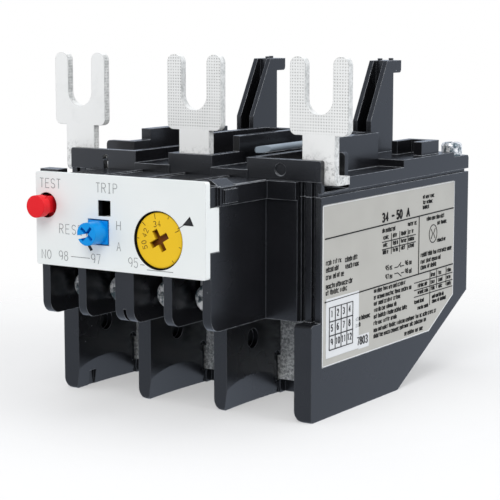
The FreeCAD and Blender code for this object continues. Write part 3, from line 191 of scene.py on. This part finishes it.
def black_plastic(name, base, edge, rough=0.24):
    """Satin moulding with a fine grain, a patchy painted highlight on its edges and a little
    dust.
    """
    s = Shader(name, base, rough)
    broad = s.noise(60.0, 3.0)
    fine = s.noise(1700.0, 2.0)
    tint = s.mix(s.ramp(broad, 0.3, 0.7), base, tuple(1.35 * c for c in base))
    # Painted highlight: the edges take a light colour, at full strength where their bevelled
    # normal faces up or down, in patches.
    turned = s.node("ShaderNodeSeparateXYZ")
    s.link(s.edge_normal(BLACK_EDGE), turned.inputs[0])
    level = s.ramp(s.math("ABSOLUTE", turned.outputs[2]), 0.15, 0.5, 0.12, 1.0)
    patchy = s.ramp(s.noise(500.0), 0.35, 0.6, 0.35, 1.0)
    edge_highlight = s.math("MULTIPLY", s.math("MULTIPLY", s.edge_mask(BLACK_EDGE), patchy), level)
    tint = s.mix(edge_highlight, tint, edge)
    specks = s.voronoi(330.0)
    near = s.ramp(specks.outputs["Distance"], 0.05, 0.025)
    separate = s.node("ShaderNodeSeparateColor")
    s.link(specks.outputs["Color"], separate.inputs[0])
    dust = s.math("MULTIPLY", near, s.ramp(separate.outputs[0], 0.78, 0.82, 0.0, 0.85))
    s.colour(s.mix(dust, tint, (0.5, 0.52, 0.56)))
    s.roughness(s.ramp(broad, 0.25, 0.75, rough - 0.05, rough + 0.07))
    s.bump(fine, GRAIN_DEPTH, GRAIN_STRENGTH, BLACK_EDGE)
    return s.mat


def satin(name, base, shade, rough, specular=0.5):
    """Smooth coloured plastic with a slight unevenness."""
    s = Shader(name, base, rough, specular=specular)
    broad = s.noise(90.0, 2.0)
    s.colour(s.mix(s.ramp(broad, 0.3, 0.7), base, shade))
    s.roughness(s.ramp(broad, 0.3, 0.7, rough - 0.05, rough + 0.05))
    s.bump(s.noise(GRAIN), GRAIN_DEPTH, GRAIN_STRENGTH, EDGE)
    return s.mat


def faceplate_plastic():
    """White plate with painted shade, near black, on the walls of the round holes and deep in the
    window.
    """
    base = (0.92, 0.945, 0.925)
    s = Shader("faceplate_white", base, 0.5)
    tone = s.mix(s.ramp(s.noise(90.0, 2.0), 0.3, 0.7), base, (0.885, 0.92, 0.90))
    x, y, z = s.axes()
    face_y = at(0, PANEL_Y, 0).y

    def around(hole, radius, depth):
        dx = s.math("SUBTRACT", x, hole[0] * MM)
        dz = s.math("SUBTRACT", z, hole[1] * MM)
        inside = s.ramp(s.distance(dx, dz), (radius + 0.04) * MM, radius * MM)
        below = s.ramp(y, face_y + depth * MM, face_y + (depth + 0.03) * MM)
        return s.math("MULTIPLY", inside, below)

    # Painted shade: near black on the hole walls below the face and deep in the window.
    painted_hole_shade = s.math("MAXIMUM", around(DIAL, 6.0, 0.02), around(TEST, 2.9, 0.02))
    painted_hole_shade = s.math("MAXIMUM", painted_hole_shade, around(WINDOW, 2.6, 0.2))
    s.colour(s.mix(painted_hole_shade, tone, (0.008, 0.008, 0.009)))
    s.bump(s.noise(GRAIN), GRAIN_DEPTH, GRAIN_STRENGTH, EDGE)
    return s.mat


def dial_plastic():
    """Yellow plastic with painted shade, brown, down in the driver cross and round the rim."""
    base = (0.97, 0.62, 0.02)
    s = Shader("dial_yellow", base, 0.45, specular=0.2)
    tone = s.mix(s.ramp(s.noise(90.0, 2.0), 0.3, 0.7), base, (0.91, 0.57, 0.018))
    face_y = at(0, DIAL_Y, 0).y
    # Painted shade: brown below the dial's face, in the cross and on the rim's side.
    painted_recess_shade = s.ramp(s.axes()[1], face_y + 0.0001, face_y + 0.0011)
    s.colour(s.mix(painted_recess_shade, tone, (0.17, 0.048, 0.002)))
    s.bump(s.noise(GRAIN), GRAIN_DEPTH, GRAIN_STRENGTH, EDGE)
    return s.mat


def metal(name, base, shade, rough, grain, metallic=1.0, depth=GRAIN_DEPTH):
    """Metal with patches of a second tone and a fine surface grain."""
    s = Shader(name, base, rough, metallic)
    patches = s.noise(grain, 4.0, 0.65)
    s.colour(s.mix(s.ramp(patches, 0.42, 0.58), base, shade))
    s.roughness(s.ramp(s.noise(grain * 2.1), 0.3, 0.7, rough - 0.07, rough + 0.1))
    s.bump(patches, depth, 0.6, 0.00015)
    return s.mat


def tinned(name, dotted):
    """Matt tin plating; a dotted fork has a grid of small dents on the front of its wide part."""
    base = (0.97, 0.965, 0.935)
    s = Shader(name, base, 0.50, 0.1, specular=0.35)
    x, y, z = s.axes()
    geometry = s.node("ShaderNodeNewGeometry")
    facing = s.node("ShaderNodeSeparateXYZ")
    s.link(geometry.outputs["True Normal"], facing.inputs[0])
    sideways = s.ramp(s.math("ABSOLUTE", facing.outputs[0]), 0.5, 0.8)
    forwards = s.ramp(facing.outputs[1], -0.9, -0.95)

    def to_centre(axis, offset):
        cell = s.math("FRACT", s.math("ADD", s.math("DIVIDE", axis, DOT_PITCH), offset + 100.0))
        return s.math("ABSOLUTE", s.math("SUBTRACT", cell, 0.5))

    def dots(a, b):
        return s.ramp(s.distance(a, b), 0.36, 0.16)

    if dotted:
        dent = s.math("MULTIPLY", dots(to_centre(x, 0.0), to_centre(z, 0.3)), forwards)
        dent = s.math("MULTIPLY", dent, s.ramp(z, 0.0575, 0.0580))
    else:
        dent = s.math("MULTIPLY", dots(to_centre(y, 0.1), to_centre(z, 0.0)), sideways)
    dent = s.math("MULTIPLY", dent, s.ramp(s.noise(260.0), 0.3, 0.7, 0.55, 1.0))
    stains = s.ramp(s.noise(170.0, 5.0, 0.7), 0.54, 0.74, 0.0, 0.22)
    tone = s.mix(stains, base, (0.66, 0.67, 0.65))
    # Darker in patches on the faces that face sideways.
    side_patches = s.ramp(s.noise(900.0, 4.0, 0.8), 0.42, 0.62, 0.25, 0.9)
    tone = s.mix(s.math("MULTIPLY", sideways, side_patches), tone, (0.52, 0.53, 0.51))
    # Darker spots towards the bottom of the fork.
    spots = s.ramp(s.noise(1300.0, 3.0, 0.8), 0.5, 0.64)
    low_spots = s.math("MULTIPLY", s.ramp(z, 0.0545, 0.0515), spots)
    tone = s.mix(s.math("MULTIPLY", low_spots, 0.55), tone, (0.20, 0.20, 0.19))
    dirt = s.ramp(s.noise(420.0), 0.35, 0.6, 0.25, 1.0)
    grime = s.math("MULTIPLY", s.edge_mask(0.00016), dirt)
    tone = s.mix(s.math("MULTIPLY", grime, 0.75), tone, (0.16, 0.16, 0.15))
    s.colour(s.mix(s.math("MULTIPLY", dent, 0.6), tone, (0.22, 0.215, 0.19)))
    height = s.math("SUBTRACT", s.math("MULTIPLY", s.noise(800.0), 0.25), dent)
    s.bump(height, 0.00008, 0.6, EDGE)
    return s.mat


def mottled():
    """Grey load plate with a coarse speckle."""
    s = Shader("mottled_plate", (0.45, 0.45, 0.44), 0.5, 0.35)
    speckle = s.noise(1500.0, 2.0, 0.8)
    s.colour(s.mix(s.ramp(speckle, 0.38, 0.62), (0.34, 0.34, 0.33), (0.98, 0.98, 0.95)))
    s.bump(speckle, 0.00006, 0.6, EDGE)
    return s.mat


def ink(name, base):
    """Printed ink, a little uneven."""
    s = Shader(name, base, 0.6, specular=0.1)
    thin = tuple(min(1.0, 1.3 * c + 0.02) for c in base)
    s.colour(s.mix(s.ramp(s.noise(1400.0), 0.35, 0.7), base, thin))
    return s.mat


MATS = {
    # casing_black: base colour, then the colour of its painted edge highlight.
    "casing_black": black_plastic("casing_black", (0.0062, 0.0063, 0.0074), (0.58, 0.60, 0.63)),
    "faceplate_white": faceplate_plastic(),
    "label_grey": satin("label_grey", (0.52, 0.505, 0.455), (0.48, 0.465, 0.42), 0.42),
    "sticker_white": satin("sticker_white", (0.80, 0.81, 0.81), (0.74, 0.75, 0.75), 0.5),
    "conductor_tinned": tinned("conductor_tinned", True),
    "plate_mottled": mottled(),
    "zinc_steel": metal("zinc_steel", (1.0, 1.0, 1.0), (0.10, 0.14, 0.16), 0.2, 800.0,
                        metallic=0.2, depth=0.00014),
    "spring_steel": metal("spring_steel", (0.50, 0.50, 0.52), (0.40, 0.40, 0.42), 0.35, 500.0),
    "contact_brass": metal("contact_brass", (0.78, 0.62, 0.34), (0.62, 0.48, 0.25), 0.35, 300.0),
    "bimetal": metal("bimetal", (0.62, 0.60, 0.56), (0.50, 0.48, 0.45), 0.4, 240.0),
    "heater_alloy": metal("heater_alloy", (0.42, 0.38, 0.34), (0.30, 0.26, 0.24), 0.5, 300.0),
    "mechanism_plastic": satin("mechanism_plastic", (0.55, 0.50, 0.40), (0.50, 0.45, 0.36), 0.5),
    "slide_dark": satin("slide_dark", (0.03, 0.03, 0.034), (0.04, 0.04, 0.045), 0.5),
    "bar_grey": satin("bar_grey", (0.26, 0.31, 0.355), (0.32, 0.37, 0.41), 0.35),
    "dial_yellow": dial_plastic(),
    "button_red": satin("button_red", (0.90, 0.012, 0.020), (0.82, 0.010, 0.017), 0.4,
                        specular=0.2),
    "button_blue": satin("button_blue", (0.0, 0.33, 0.85), (0.0, 0.28, 0.78), 0.35,
                         specular=0.2),
    "ink_grey": ink("ink_grey", (0.27, 0.28, 0.28)),
    "ink_black": ink("ink_black", (0.02, 0.02, 0.022)),
    "ink_brown": ink("ink_brown", (0.11, 0.06, 0.012)),
    "ink_label": ink("ink_label", (0.008, 0.008, 0.008)),
}

SLOTS = {entry["node"]: entry["material_slot"] for entry in frame["record"]["subparts"]}
for node, obj in frame["nodes"].items():
    obj.data.materials.clear()
    obj.data.materials.append(MATS[SLOTS[node]])
frame["nodes"]["line_conductor_1"].data.materials[0] = tinned("conductor_plain", False)


# --- lettering drawn as strokes ---------------------------------------------
def arc(cx, cz, rx, rz, start, end, steps=8):
    """Points on an ellipse arc, angles in degrees from +x."""
    points = []
    for n in range(steps + 1):
        a = math.radians(start + (end - start) * n / steps)
        points.append((cx + rx * math.cos(a), cz + rz * math.sin(a)))
    return points


# Each glyph is a list of strokes on a cell 1 wide and 1 high.
GLYPHS = {
    "A": [[(0, 0), (0.5, 1), (1, 0)], [(0.2, 0.36), (0.8, 0.36)]],
    "N": [[(0, 0), (0, 1), (1, 0), (1, 1)]],
    "O": [arc(0.5, 0.5, 0.5, 0.5, 0, 360, 16)],
    "E": [[(1, 1), (0, 1), (0, 0), (1, 0)], [(0, 0.52), (0.8, 0.52)]],
    "H": [[(0, 0), (0, 1)], [(1, 0), (1, 1)], [(0, 0.5), (1, 0.5)]],
    "I": [[(0.5, 0), (0.5, 1)], [(0.25, 1), (0.75, 1)], [(0.25, 0), (0.75, 0)]],
    "P": [[(0, 0), (0, 1)] + arc(0.55, 0.75, 0.45, 0.25, 90, -90) + [(0, 0.5)]],
    "R": [[(0, 0), (0, 1)] + arc(0.55, 0.75, 0.45, 0.25, 90, -90) + [(0, 0.5)],
          [(0.5, 0.5), (1, 0)]],
    "S": [arc(0.5, 0.75, 0.5, 0.25, 20, 270) + arc(0.5, 0.25, 0.5, 0.25, 90, -160)],
    "T": [[(0, 1), (1, 1)], [(0.5, 1), (0.5, 0)]],
    "0": [arc(0.5, 0.5, 0.5, 0.5, 0, 360, 16)],
    "1": [[(0.25, 0.8), (0.5, 1), (0.5, 0)]],
    "2": [arc(0.5, 0.72, 0.48, 0.28, 170, -30) + [(0, 0), (1, 0)]],
    "3": [arc(0.45, 0.75, 0.5, 0.25, 150, -90) + arc(0.45, 0.25, 0.5, 0.25, 90, -150)],
    "4": [[(0.75, 0), (0.75, 1), (0, 0.3), (1, 0.3)]],
    "5": [[(0.95, 1), (0.1, 1), (0.05, 0.55)] + arc(0.48, 0.32, 0.5, 0.32, 120, -150)],
    "6": [[(0.8, 1)] + arc(0.5, 0.5, 0.5, 0.5, 130, 180, 4)
          + arc(0.5, 0.3, 0.5, 0.3, 180, 540, 14)],
    "7": [[(0, 1), (1, 1), (0.4, 0)]],
    "8": [arc(0.5, 0.76, 0.42, 0.24, -90, 270, 12), arc(0.5, 0.27, 0.5, 0.27, 90, 450, 12)],
    "9": [arc(0.5, 0.7, 0.5, 0.3, 0, 360, 14) + arc(0.5, 0.5, 0.5, 0.5, 0, -60, 5)],
    "-": [[(0, 0.5), (1, 0.5)]],
}


def stroke_piece(name, strokes, to_point, width, material, body):
    """Strokes of (u, v) in mm, drawn as thin raised lines by to_point(u, v)."""
    curve = bpy.data.curves.new(name, "CURVE")
    curve.dimensions = "3D"
    curve.bevel_depth = width / 2 * MM
    curve.bevel_resolution = 1
    curve.use_fill_caps = True
    for stroke in strokes:
        spline = curve.splines.new("POLY")
        spline.points.add(len(stroke) - 1)
        for point, (u, v) in zip(spline.points, stroke):
            point.co = (*to_point(u, v), 1.0)
    obj = bpy.data.objects.new(name, curve)
    bpy.context.collection.objects.link(obj)
    curve.materials.append(MATS[material])
    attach(obj, body)


def word_strokes(word, x, z, height, width, pitch):
    """Strokes of a word whose lower left corner is (x, z)."""
    out = []
    for n, letter in enumerate(word):
        for stroke in GLYPHS[letter]:
            out.append([(x + n * pitch + width * u, z + height * v) for u, v in stroke])
    return out


def on_panel(x, z):
    return at(x, PANEL_Y, z)


def on_dial(u, v):
    return at(DIAL[0] + u, DIAL_Y, DIAL[1] + v)


def on_side(y, z):
    return at(SIDE_X, y, z)


def on_sticker(y, z):
    return at(STICKER_X, y, z)


def panel_lettering():
    """Words and numbers on the faceplate: x, z, height, width and pitch of the letters."""
    words = [
        ("TEST", -21.8, 46.3, 1.9, 0.95, 1.45),
        ("TRIP", -7.4, 46.1, 1.9, 0.95, 1.42),
        ("RESET", -16.9, 37.2, 1.9, 0.95, 1.62),
        ("NO", -21.6, 31.75, 1.8, 0.95, 1.45),
        ("H", -2.35, 38.9, 1.75, 0.95, 1.4),
        ("A", -2.35, 34.7, 1.75, 0.95, 1.4),
        ("98", -17.1, 31.7, 1.9, 0.9, 1.35),
        ("97", -8.8, 31.7, 1.9, 0.9, 1.35),
        ("95", 0.5, 31.7, 1.9, 0.9, 1.35),
    ]
    strokes = []
    for word in words:
        strokes += word_strokes(*word)
    strokes.append([(-14.0, 32.65), (-9.2, 32.65)])
    strokes.append([(3.4, 32.4), (4.4, 32.4)])
    strokes.append([(5.0, 31.5), (11.3, 31.5)])
    stroke_piece("panel_lettering", strokes, on_panel, 0.15, "ink_grey", BODY)


def flat_piece(name, points, to_point, lift, material, body):
    """Filled outline of (u, v) points lying just proud of a face."""
    mesh = bpy.data.meshes.new(name)
    front = [to_point(u, v) + lift for u, v in points]
    back = [to_point(u, v) - 0.5 * lift for u, v in points]
    count = len(points)
    faces = [tuple(range(count)), tuple(range(2 * count - 1, count - 1, -1))]
    for n in range(count):
        m = (n + 1) % count
        faces.append((n, n + count, m + count, m))
    mesh.from_pydata(front + back, [], faces)
    mesh.update()
    obj = bpy.data.objects.new(name, mesh)
    bpy.context.collection.objects.link(obj)
    mesh.materials.append(MATS[material])
    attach(obj, body)


PANEL_LIFT = Vector((0, -0.00004, 0))
SIDE_LIFT = Vector((0.00004, 0, 0))


def panel_marks():
    flat_piece("dial_pointer", [(13.6, 40.9), (16.2, 40.9), (15.3, 42.7)],
               on_panel, PANEL_LIFT, "ink_black", BODY)
    stroke_piece("pointer_tail", [[(14.0, 41.0), (12.4, 40.1)]],
                 on_panel, 0.14, "ink_black", BODY)
    flat_piece("reset_mark", [(-10.1, 35.75), (-9.5, 36.0), (-8.4, 34.4), (-9.0, 34.15)],
               on_panel, PANEL_LIFT, "ink_black", BODY)


def dial_marks():
    """Ticks round the dial, long and short, and numbers turned with their tops outward."""
    strokes = []
    for n in range(7):
        a = math.radians(-50 + 38 * n)
        inner = 4.3 if n in (2, 4, 5) else 4.85
        strokes.append([(reach * math.cos(a), reach * math.sin(a)) for reach in (inner, 5.3)])
    for label, angle, reach in (("34", 98, 3.3), ("42", 158, 3.6), ("50", 196, 3.7)):
        a = math.radians(angle - 90)
        c, s = math.cos(a), math.sin(a)
        for stroke in word_strokes(label, -0.85, reach - 0.55, 1.1, 0.62, 1.0):
            strokes.append([(u * c - v * s, u * s + v * c) for u, v in stroke])
    stroke_piece("dial_marks", strokes, on_dial, 0.14, "ink_brown", "setting_dial")


# --- knob and button shaped finer than their solids ---------------------------
def round_bar(name, x, z, radius, y0, y1, steps=40):
    """Cylinder along y, as a bare object."""
    bpy.ops.mesh.primitive_cylinder_add(
        vertices=steps, radius=radius * MM, depth=(y1 - y0) * MM,
        location=at(x, (y0 + y1) / 2, z), rotation=(math.pi / 2, 0, 0))
    obj = bpy.context.object
    obj.name = name
    return obj


def block_bar(x, z, width, height, y0, y1, turn=0.0):
    """Block along y, turned about its own length by turn degrees."""
    bpy.ops.mesh.primitive_cube_add(size=1.0, location=at(x, (y0 + y1) / 2, z),
                                    rotation=(0, math.radians(-turn), 0))
    obj = bpy.context.object
    obj.scale = (width * MM, (y1 - y0) * MM, height * MM)
    return obj


def combine(obj, others, operation):
    """Join others to obj or cut them from it, and drop them."""
    for other in others:
        mod = obj.modifiers.new("combine", "BOOLEAN")
        mod.operation = operation
        mod.solver = "EXACT"
        mod.object = other
    bpy.context.view_layer.update()
    shaped = obj.evaluated_get(bpy.context.evaluated_depsgraph_get())
    solid = bpy.data.meshes.new_from_object(shaped)
    obj.modifiers.clear()
    obj.data = solid
    for other in others:
        bpy.data.objects.remove(other)


def finish_small(obj, material, node, edge):
    """Ease the edges and let obj stand for the node, which has a body of its own name."""
    mod = obj.modifiers.new("edges", "BEVEL")
    mod.width = edge * MM
    mod.segments = 2
    mod.limit_method = "ANGLE"
    mod.angle_limit = math.radians(35)
    obj.data.materials.clear()
    obj.data.materials.append(MATS[material])
    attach(obj, node)
    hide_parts(node)


def knob():
    """Reset knob with a driver cross, one arm of it open through the rim."""
    x, z = KNOB
    body = round_bar("knob_shape", x, z, KNOB_R, KNOB_FRONT, KNOB_BACK)
    pin = round_bar("pin", x, z, 0.95, KNOB_BACK - 0.3, KNOB_BACK + 2.9, 24)
    combine(body, [pin], "UNION")
    front = KNOB_FRONT - 0.5
    cuts = [
        block_bar(x, z, 3.5, 0.62, front, KNOB_FRONT + 1.9, 50),
        block_bar(x, z, 3.5, 0.62, front, KNOB_FRONT + 1.9, -40),
        block_bar(x - 1.35, z - 0.55, 2.7, 0.75, front, KNOB_BACK - 0.5, 12),
    ]
    combine(body, cuts, "DIFFERENCE")
    finish_small(body, "button_blue", "reset_knob", 0.14)


def test_cap():
    """Test button: a round head on a flatter neck that runs into its hole."""
    x, z = TEST
    front = PANEL_Y - 3.6
    head = round_bar("test_cap", x, z, TEST_R, front, front + 2.0)
    left, right = TEST_LEFT, x + 1.6
    neck = block_bar((left + right) / 2, z + 0.25, right - left, 3.3,
                     front + 1.5, PANEL_Y + 2.6)
    shoulder = block_bar((left + right + 1.0) / 2, z, right + 1.0 - left, 5.0,
                         PANEL_Y + 1.75, PANEL_Y + 2.75)
    stem = round_bar("stem", x + 1.6, z, 1.1, PANEL_Y + 2.4, PANEL_Y + 10.4, 24)
    combine(head, [neck, shoulder, stem], "UNION")
    finish_small(head, "button_red", "test_button", 0.2)


# --- side label and sticker ---------------------------------------------------
# Letter-like marks for print too small to read; they spell nothing.
TICKS = [
    [[(0, 0), (0, 1)], [(0, 0), (1, 0), (1, 0.7), (0, 0.7)]],
    [[(0, 0), (0, 0.7), (1, 0.7), (1, 0)]],
    [[(1, 0), (0, 0), (0, 0.7), (1, 0.7)]],
    [[(0.4, 0), (0.4, 0.75)]],
    [[(0, 0.7), (0, 0), (1, 0), (1, 0.7)]],
    [[(0, 0.35), (1, 0.35), (1, 0.7), (0, 0.7), (0, 0), (1, 0)]],
    [[(0.4, 0), (0.4, 1)], [(0, 0.7), (0.9, 0.7)]],
    [[(0, 0), (1, 0), (1, 0.7), (0, 0.7), (0, 0)]],
    [[(0, 0), (0, 0.7), (0.8, 0.7)]],
    [[(1, 1), (1, 0), (0, 0), (0, 0.7), (1, 0.7)]],
    [[(0, 0), (0, 0.7)], [(0, 0.35), (0.9, 0.7)], [(0.2, 0.4), (0.9, 0)]],
]


def plain_text(y0, y1, z, height):
    """A line of small print that spells nothing, in runs as long as words."""
    strokes = []
    y = y0
    n = int(10 * y0 + 7 * z)
    left = 2 + n % 5
    while y < y1 - 0.3:
        n = (37 * n + 11) % 1009
        if left == 0:
            left = 2 + n % 7
            y += 0.42 * height
            continue
        left -= 1
        wide = 0.38 * height
        for tick in TICKS[n % len(TICKS)]:
            strokes.append([(y + wide * u, z + height * v) for u, v in tick])
        y += wide + 0.22 * height
    return strokes


def table_rules(columns, rows, depths):
    """Upright rules at columns and level rules between the given ends."""
    strokes = [[(y0, z), (y1, z)] for y0, y1, z in rows]
    for y, (low, high) in zip(columns, depths):
        strokes.append([(y, low), (y, high)])
    return strokes


def small_print():
    """Blocks of letter-like lines: each is y0, y1, z and height."""
    lines = [
        (42.9, 48.4, 40.9, 0.8), (42.9, 47.6, 39.7, 0.8), (42.9, 46.3, 38.6, 0.8),
        (0.8, 6.9, 31.4, 1.0), (8.5, 14.3, 31.2, 1.0),
        (0.8, 6.4, 30.0, 1.0), (8.5, 14.3, 29.8, 1.0),
        (0.8, 7.8, 28.5, 1.0), (0.8, 12.0, 26.6, 1.0), (0.8, 9.6, 25.3, 1.0),
        (24.3, 30.6, 35.4, 0.9), (35.9, 39.9, 35.6, 0.9),
        (44.7, 53.5, 35.8, 0.9), (50.1, 54.9, 34.4, 0.8), (50.1, 54.2, 30.5, 0.8),
        (42.2, 57.6, 28.0, 0.95), (42.2, 52.5, 26.5, 0.95), (42.2, 50.0, 25.2, 0.95),
        (20.9, 35.4, 23.0, 0.9), (20.9, 38.1, 21.6, 0.9), (20.9, 32.7, 20.3, 0.9),
        (20.9, 31.0, 18.9, 0.9), (20.9, 36.2, 17.5, 0.9), (20.9, 31.5, 16.1, 0.9),
        (20.9, 50.2, 14.6, 0.9), (20.9, 45.1, 13.3, 0.9), (34.9, 43.4, 11.6, 0.9),
        (13.0, 19.8, 18.2, 0.9), (13.0, 15.4, 16.9, 0.9),
        (41.0, 46.2, 21.4, 0.8), (41.0, 46.2, 19.9, 0.8),
        (39.3, 44.0, 17.9, 0.8), (41.0, 46.4, 16.4, 0.8),
        (48.0, 54.0, 18.0, 0.8), (48.0, 54.8, 16.9, 0.8),
    ]
    strokes = []
    for line in lines:
        strokes += plain_text(*line)
    for y in (24.6, 29.0, 32.7, 36.3):
        for z in (33.9, 32.3, 30.8):
            strokes += plain_text(y, y + 2.4, z, 0.85)
    for y in (47.3, 51.0, 55.3):
        for z in (23.0, 21.4, 19.9):
            strokes += plain_text(y, y + 2.0, z, 0.85)
    return strokes


def contact_symbols():
    """Open and closed switch signs beside their terminal numbers."""
    strokes = []
    for number, y, z in (("95", 25.9, 27.1), ("96", 34.8, 27.1),
                         ("97", 25.9, 25.2), ("98", 34.8, 25.3)):
        strokes += word_strokes(number, y, z, 1.0, 0.5, 0.8)
    for y in (27.8, 36.7):
        strokes += plain_text(y, y + 1.4, 27.1, 1.0) + plain_text(y, y + 1.4, 25.2, 1.0)
    strokes += [[(29.9, 27.2), (31.4, 27.2), (32.8, 28.0)], [(32.6, 27.2), (34.2, 27.2)],
                [(32.4, 27.6), (32.8, 27.0)]]
    strokes += [[(29.9, 25.9), (31.4, 25.9), (33.0, 25.0)], [(32.9, 25.7), (34.2, 25.7)]]
    return strokes


def reset_sign():
    """Outline of the reset knob seen from the front, with its slot."""
    y, z = 48.0, 32.6
    ring = arc(y, z, 1.9, 2.0, 0, 360, 20)
    bars = [[(y - 1.0, z + 1.1), (y - 0.2, z), (y - 1.0, z - 1.1)],
            [(y + 1.0, z + 1.1), (y + 0.2, z), (y + 1.0, z - 1.1)]]
    return [ring] + bars


def side_label():
    """Rules, tables, print, a painted highlight round the edge and the current range of the side
    label.
    """
    rules = [[(0.3, 36.75), (58.1, 37.4)], [(0.3, 23.95), (58.1, 24.5)],
             [(41.1, 24.5), (41.1, 37.1)]]
    stroke_piece("label_rules", rules, on_side, 0.30, "ink_label", BODY)
    tables = table_rules(
        (28.3, 32.1, 35.9, 46.8, 50.1, 54.8),
        ((24.2, 39.5, 33.35), (24.2, 39.5, 31.75), (39.2, 58.1, 22.55),
         (39.2, 58.1, 19.4), (39.2, 58.1, 20.9)),
        ((30.4, 34.9), (30.4, 34.9), (30.4, 34.9), (16.6, 24.2), (20.0, 24.2), (20.0, 24.2)))
    stroke_piece("label_tables", tables + contact_symbols() + reset_sign(),
                 on_side, 0.22, "ink_label", BODY)
    stroke_piece("label_print", small_print(), on_side, 0.23, "ink_label", BODY)
    # Painted highlight: a light line round the label's edge.
    rim = [(-0.5, 10.85), (-0.5, 43.4), (58.35, 43.4), (58.35, 17.45), (46.5, 10.85),
           (-0.5, 10.85)]
    stroke_piece("label_edge_highlight", [rim], on_side, 0.24, "sticker_white", BODY)
    current = word_strokes("34", 24.2, 37.7, 1.75, 0.95, 1.45)
    current += word_strokes("-", 28.4, 37.7, 1.75, 0.9, 1.45)
    current += word_strokes("50", 30.6, 37.7, 1.75, 0.95, 1.45)
    current += word_strokes("A", 35.2, 37.7, 1.75, 1.2, 1.45)
    stroke_piece("label_current", current, on_side, 0.46, "ink_label", BODY)


def sticker_marks():
    """Grid of plain numbers on the sticker, its small tab and a plain number on that."""
    strokes = [[(2.0, 13.9), (11.6, 13.9), (11.6, 22.6), (2.0, 22.6), (2.0, 13.9)]]
    for n in range(1, 4):
        strokes.append([(2.0 + 2.4 * n, 13.9), (2.0 + 2.4 * n, 22.6)])
    for n in range(1, 3):
        strokes.append([(2.0, 13.9 + 2.9 * n), (11.6, 13.9 + 2.9 * n)])
    for n in range(12):
        text = str(n + 1)
        y = 2.0 + 2.4 * (n % 4) + 1.2 - 0.45 * len(text)
        strokes += word_strokes(text, y, 20.6 - 2.9 * (n // 4), 1.3, 0.6, 0.95)
    stroke_piece("sticker_grid", strokes, on_sticker, 0.24, "ink_black", BODY)
    flat_piece("sticker_tab", [(14.2, 12.05), (18.75, 12.05), (18.75, 15.0), (14.2, 15.0)],
               on_side, SIDE_LIFT, "sticker_white", BODY)
    stroke_piece("sticker_number", word_strokes("7803", 13.6, 13.0, 1.6, 0.8, 1.2),
                 on_sticker, 0.22, "ink_black", BODY)


panel_lettering()
panel_marks()
dial_marks()
knob()
test_cap()
side_label()
sticker_marks()


# --- stage, lights and camera --------------------------------------------------
def floor():
    """Pale sheet that takes the shadow and fades into the white background."""
    bpy.ops.mesh.primitive_plane_add(size=2.4, location=(0, 0, 0))
    obj = bpy.context.object
    obj.name = "floor"
    s = Shader("floor_paper", (0.93, 0.93, 0.93), 0.9, specular=0.1)
    s.colour(s.mix(s.ramp(s.noise(3.0), 0.3, 0.7), (0.93, 0.93, 0.93), (0.95, 0.95, 0.95)))
    length = s.node("ShaderNodeVectorMath", operation="LENGTH")
    s.link(s.coords, length.inputs[0])
    fade = s.ramp(length.outputs["Value"], 0.065, 0.17, 0.62, 0.0)
    mirrored = s.node("ShaderNodeLightPath").outputs["Is Glossy Ray"]
    s.link(s.math("MULTIPLY", fade, s.math("SUBTRACT", 1.0, mirrored)), s.bsdf.inputs["Alpha"])
    obj.data.materials.append(s.mat)


def area_light(name, place, target, size, power, colour=(1, 1, 1)):
    data = bpy.data.lights.new(name, "AREA")
    data.energy = power
    data.size = size
    data.color = colour
    obj = bpy.data.objects.new(name, data)
    obj.location = place
    aim = Vector(target) - Vector(place)
    obj.rotation_euler = aim.to_track_quat("-Z", "Y").to_euler()
    bpy.context.collection.objects.link(obj)


def world(background, ambient, glossy):
    """White behind the object; softer light for the object itself."""
    w = bpy.data.worlds.new("studio")
    bpy.context.scene.world = w
    w.use_nodes = True
    tree = w.node_tree
    tree.nodes.clear()
    path = tree.nodes.new("ShaderNodeLightPath")
    out = tree.nodes.new("ShaderNodeOutputWorld")

    def sheet(colour):
        n = tree.nodes.new("ShaderNodeBackground")
        n.inputs["Color"].default_value = (*colour, 1.0)
        return n.outputs[0]

    def choose(factor, a, b):
        n = tree.nodes.new("ShaderNodeMixShader")
        tree.links.new(factor, n.inputs[0])
        tree.links.new(a, n.inputs[1])
        tree.links.new(b, n.inputs[2])
        return n.outputs[0]

    base = choose(path.outputs["Is Glossy Ray"], sheet(ambient), sheet(glossy))
    tree.links.new(choose(path.outputs["Is Camera Ray"], base, sheet(background)), out.inputs[0])


def camera():
    data = bpy.data.cameras.new("camera")
    data.sensor_width = 36.0
    data.lens = 121.39
    data.clip_end = 10.0
    obj = bpy.data.objects.new("camera", data)
    obj.location = at(199.5, -287.35, 82.24)
    yaw = math.radians(32.869)
    pitch = math.radians(8.143)
    obj.rotation_euler = (math.pi / 2 - pitch, 0.0, yaw)
    bpy.context.collection.objects.link(obj)
    bpy.context.scene.camera = obj


floor()
world((1, 1, 1), (0.42, 0.43, 0.45), (0.62, 0.70, 0.84))
area_light("key", (0.25, -0.75, 0.65), (0, 0, 0.04), 0.55, 4.2)
area_light("side_box", (0.85, 0.10, 0.35), (0, 0, 0.03), 0.60, 3.6, (0.95, 0.97, 1.0))
area_light("top_box", (-0.05, 0.15, 0.80), (0, 0, 0.04), 0.60, 1.6)
area_light("fill", (-0.70, -0.55, 0.25), (0, 0, 0.04), 0.60, 1.2)
camera()
bpy.context.scene.view_settings.view_transform = "Standard"
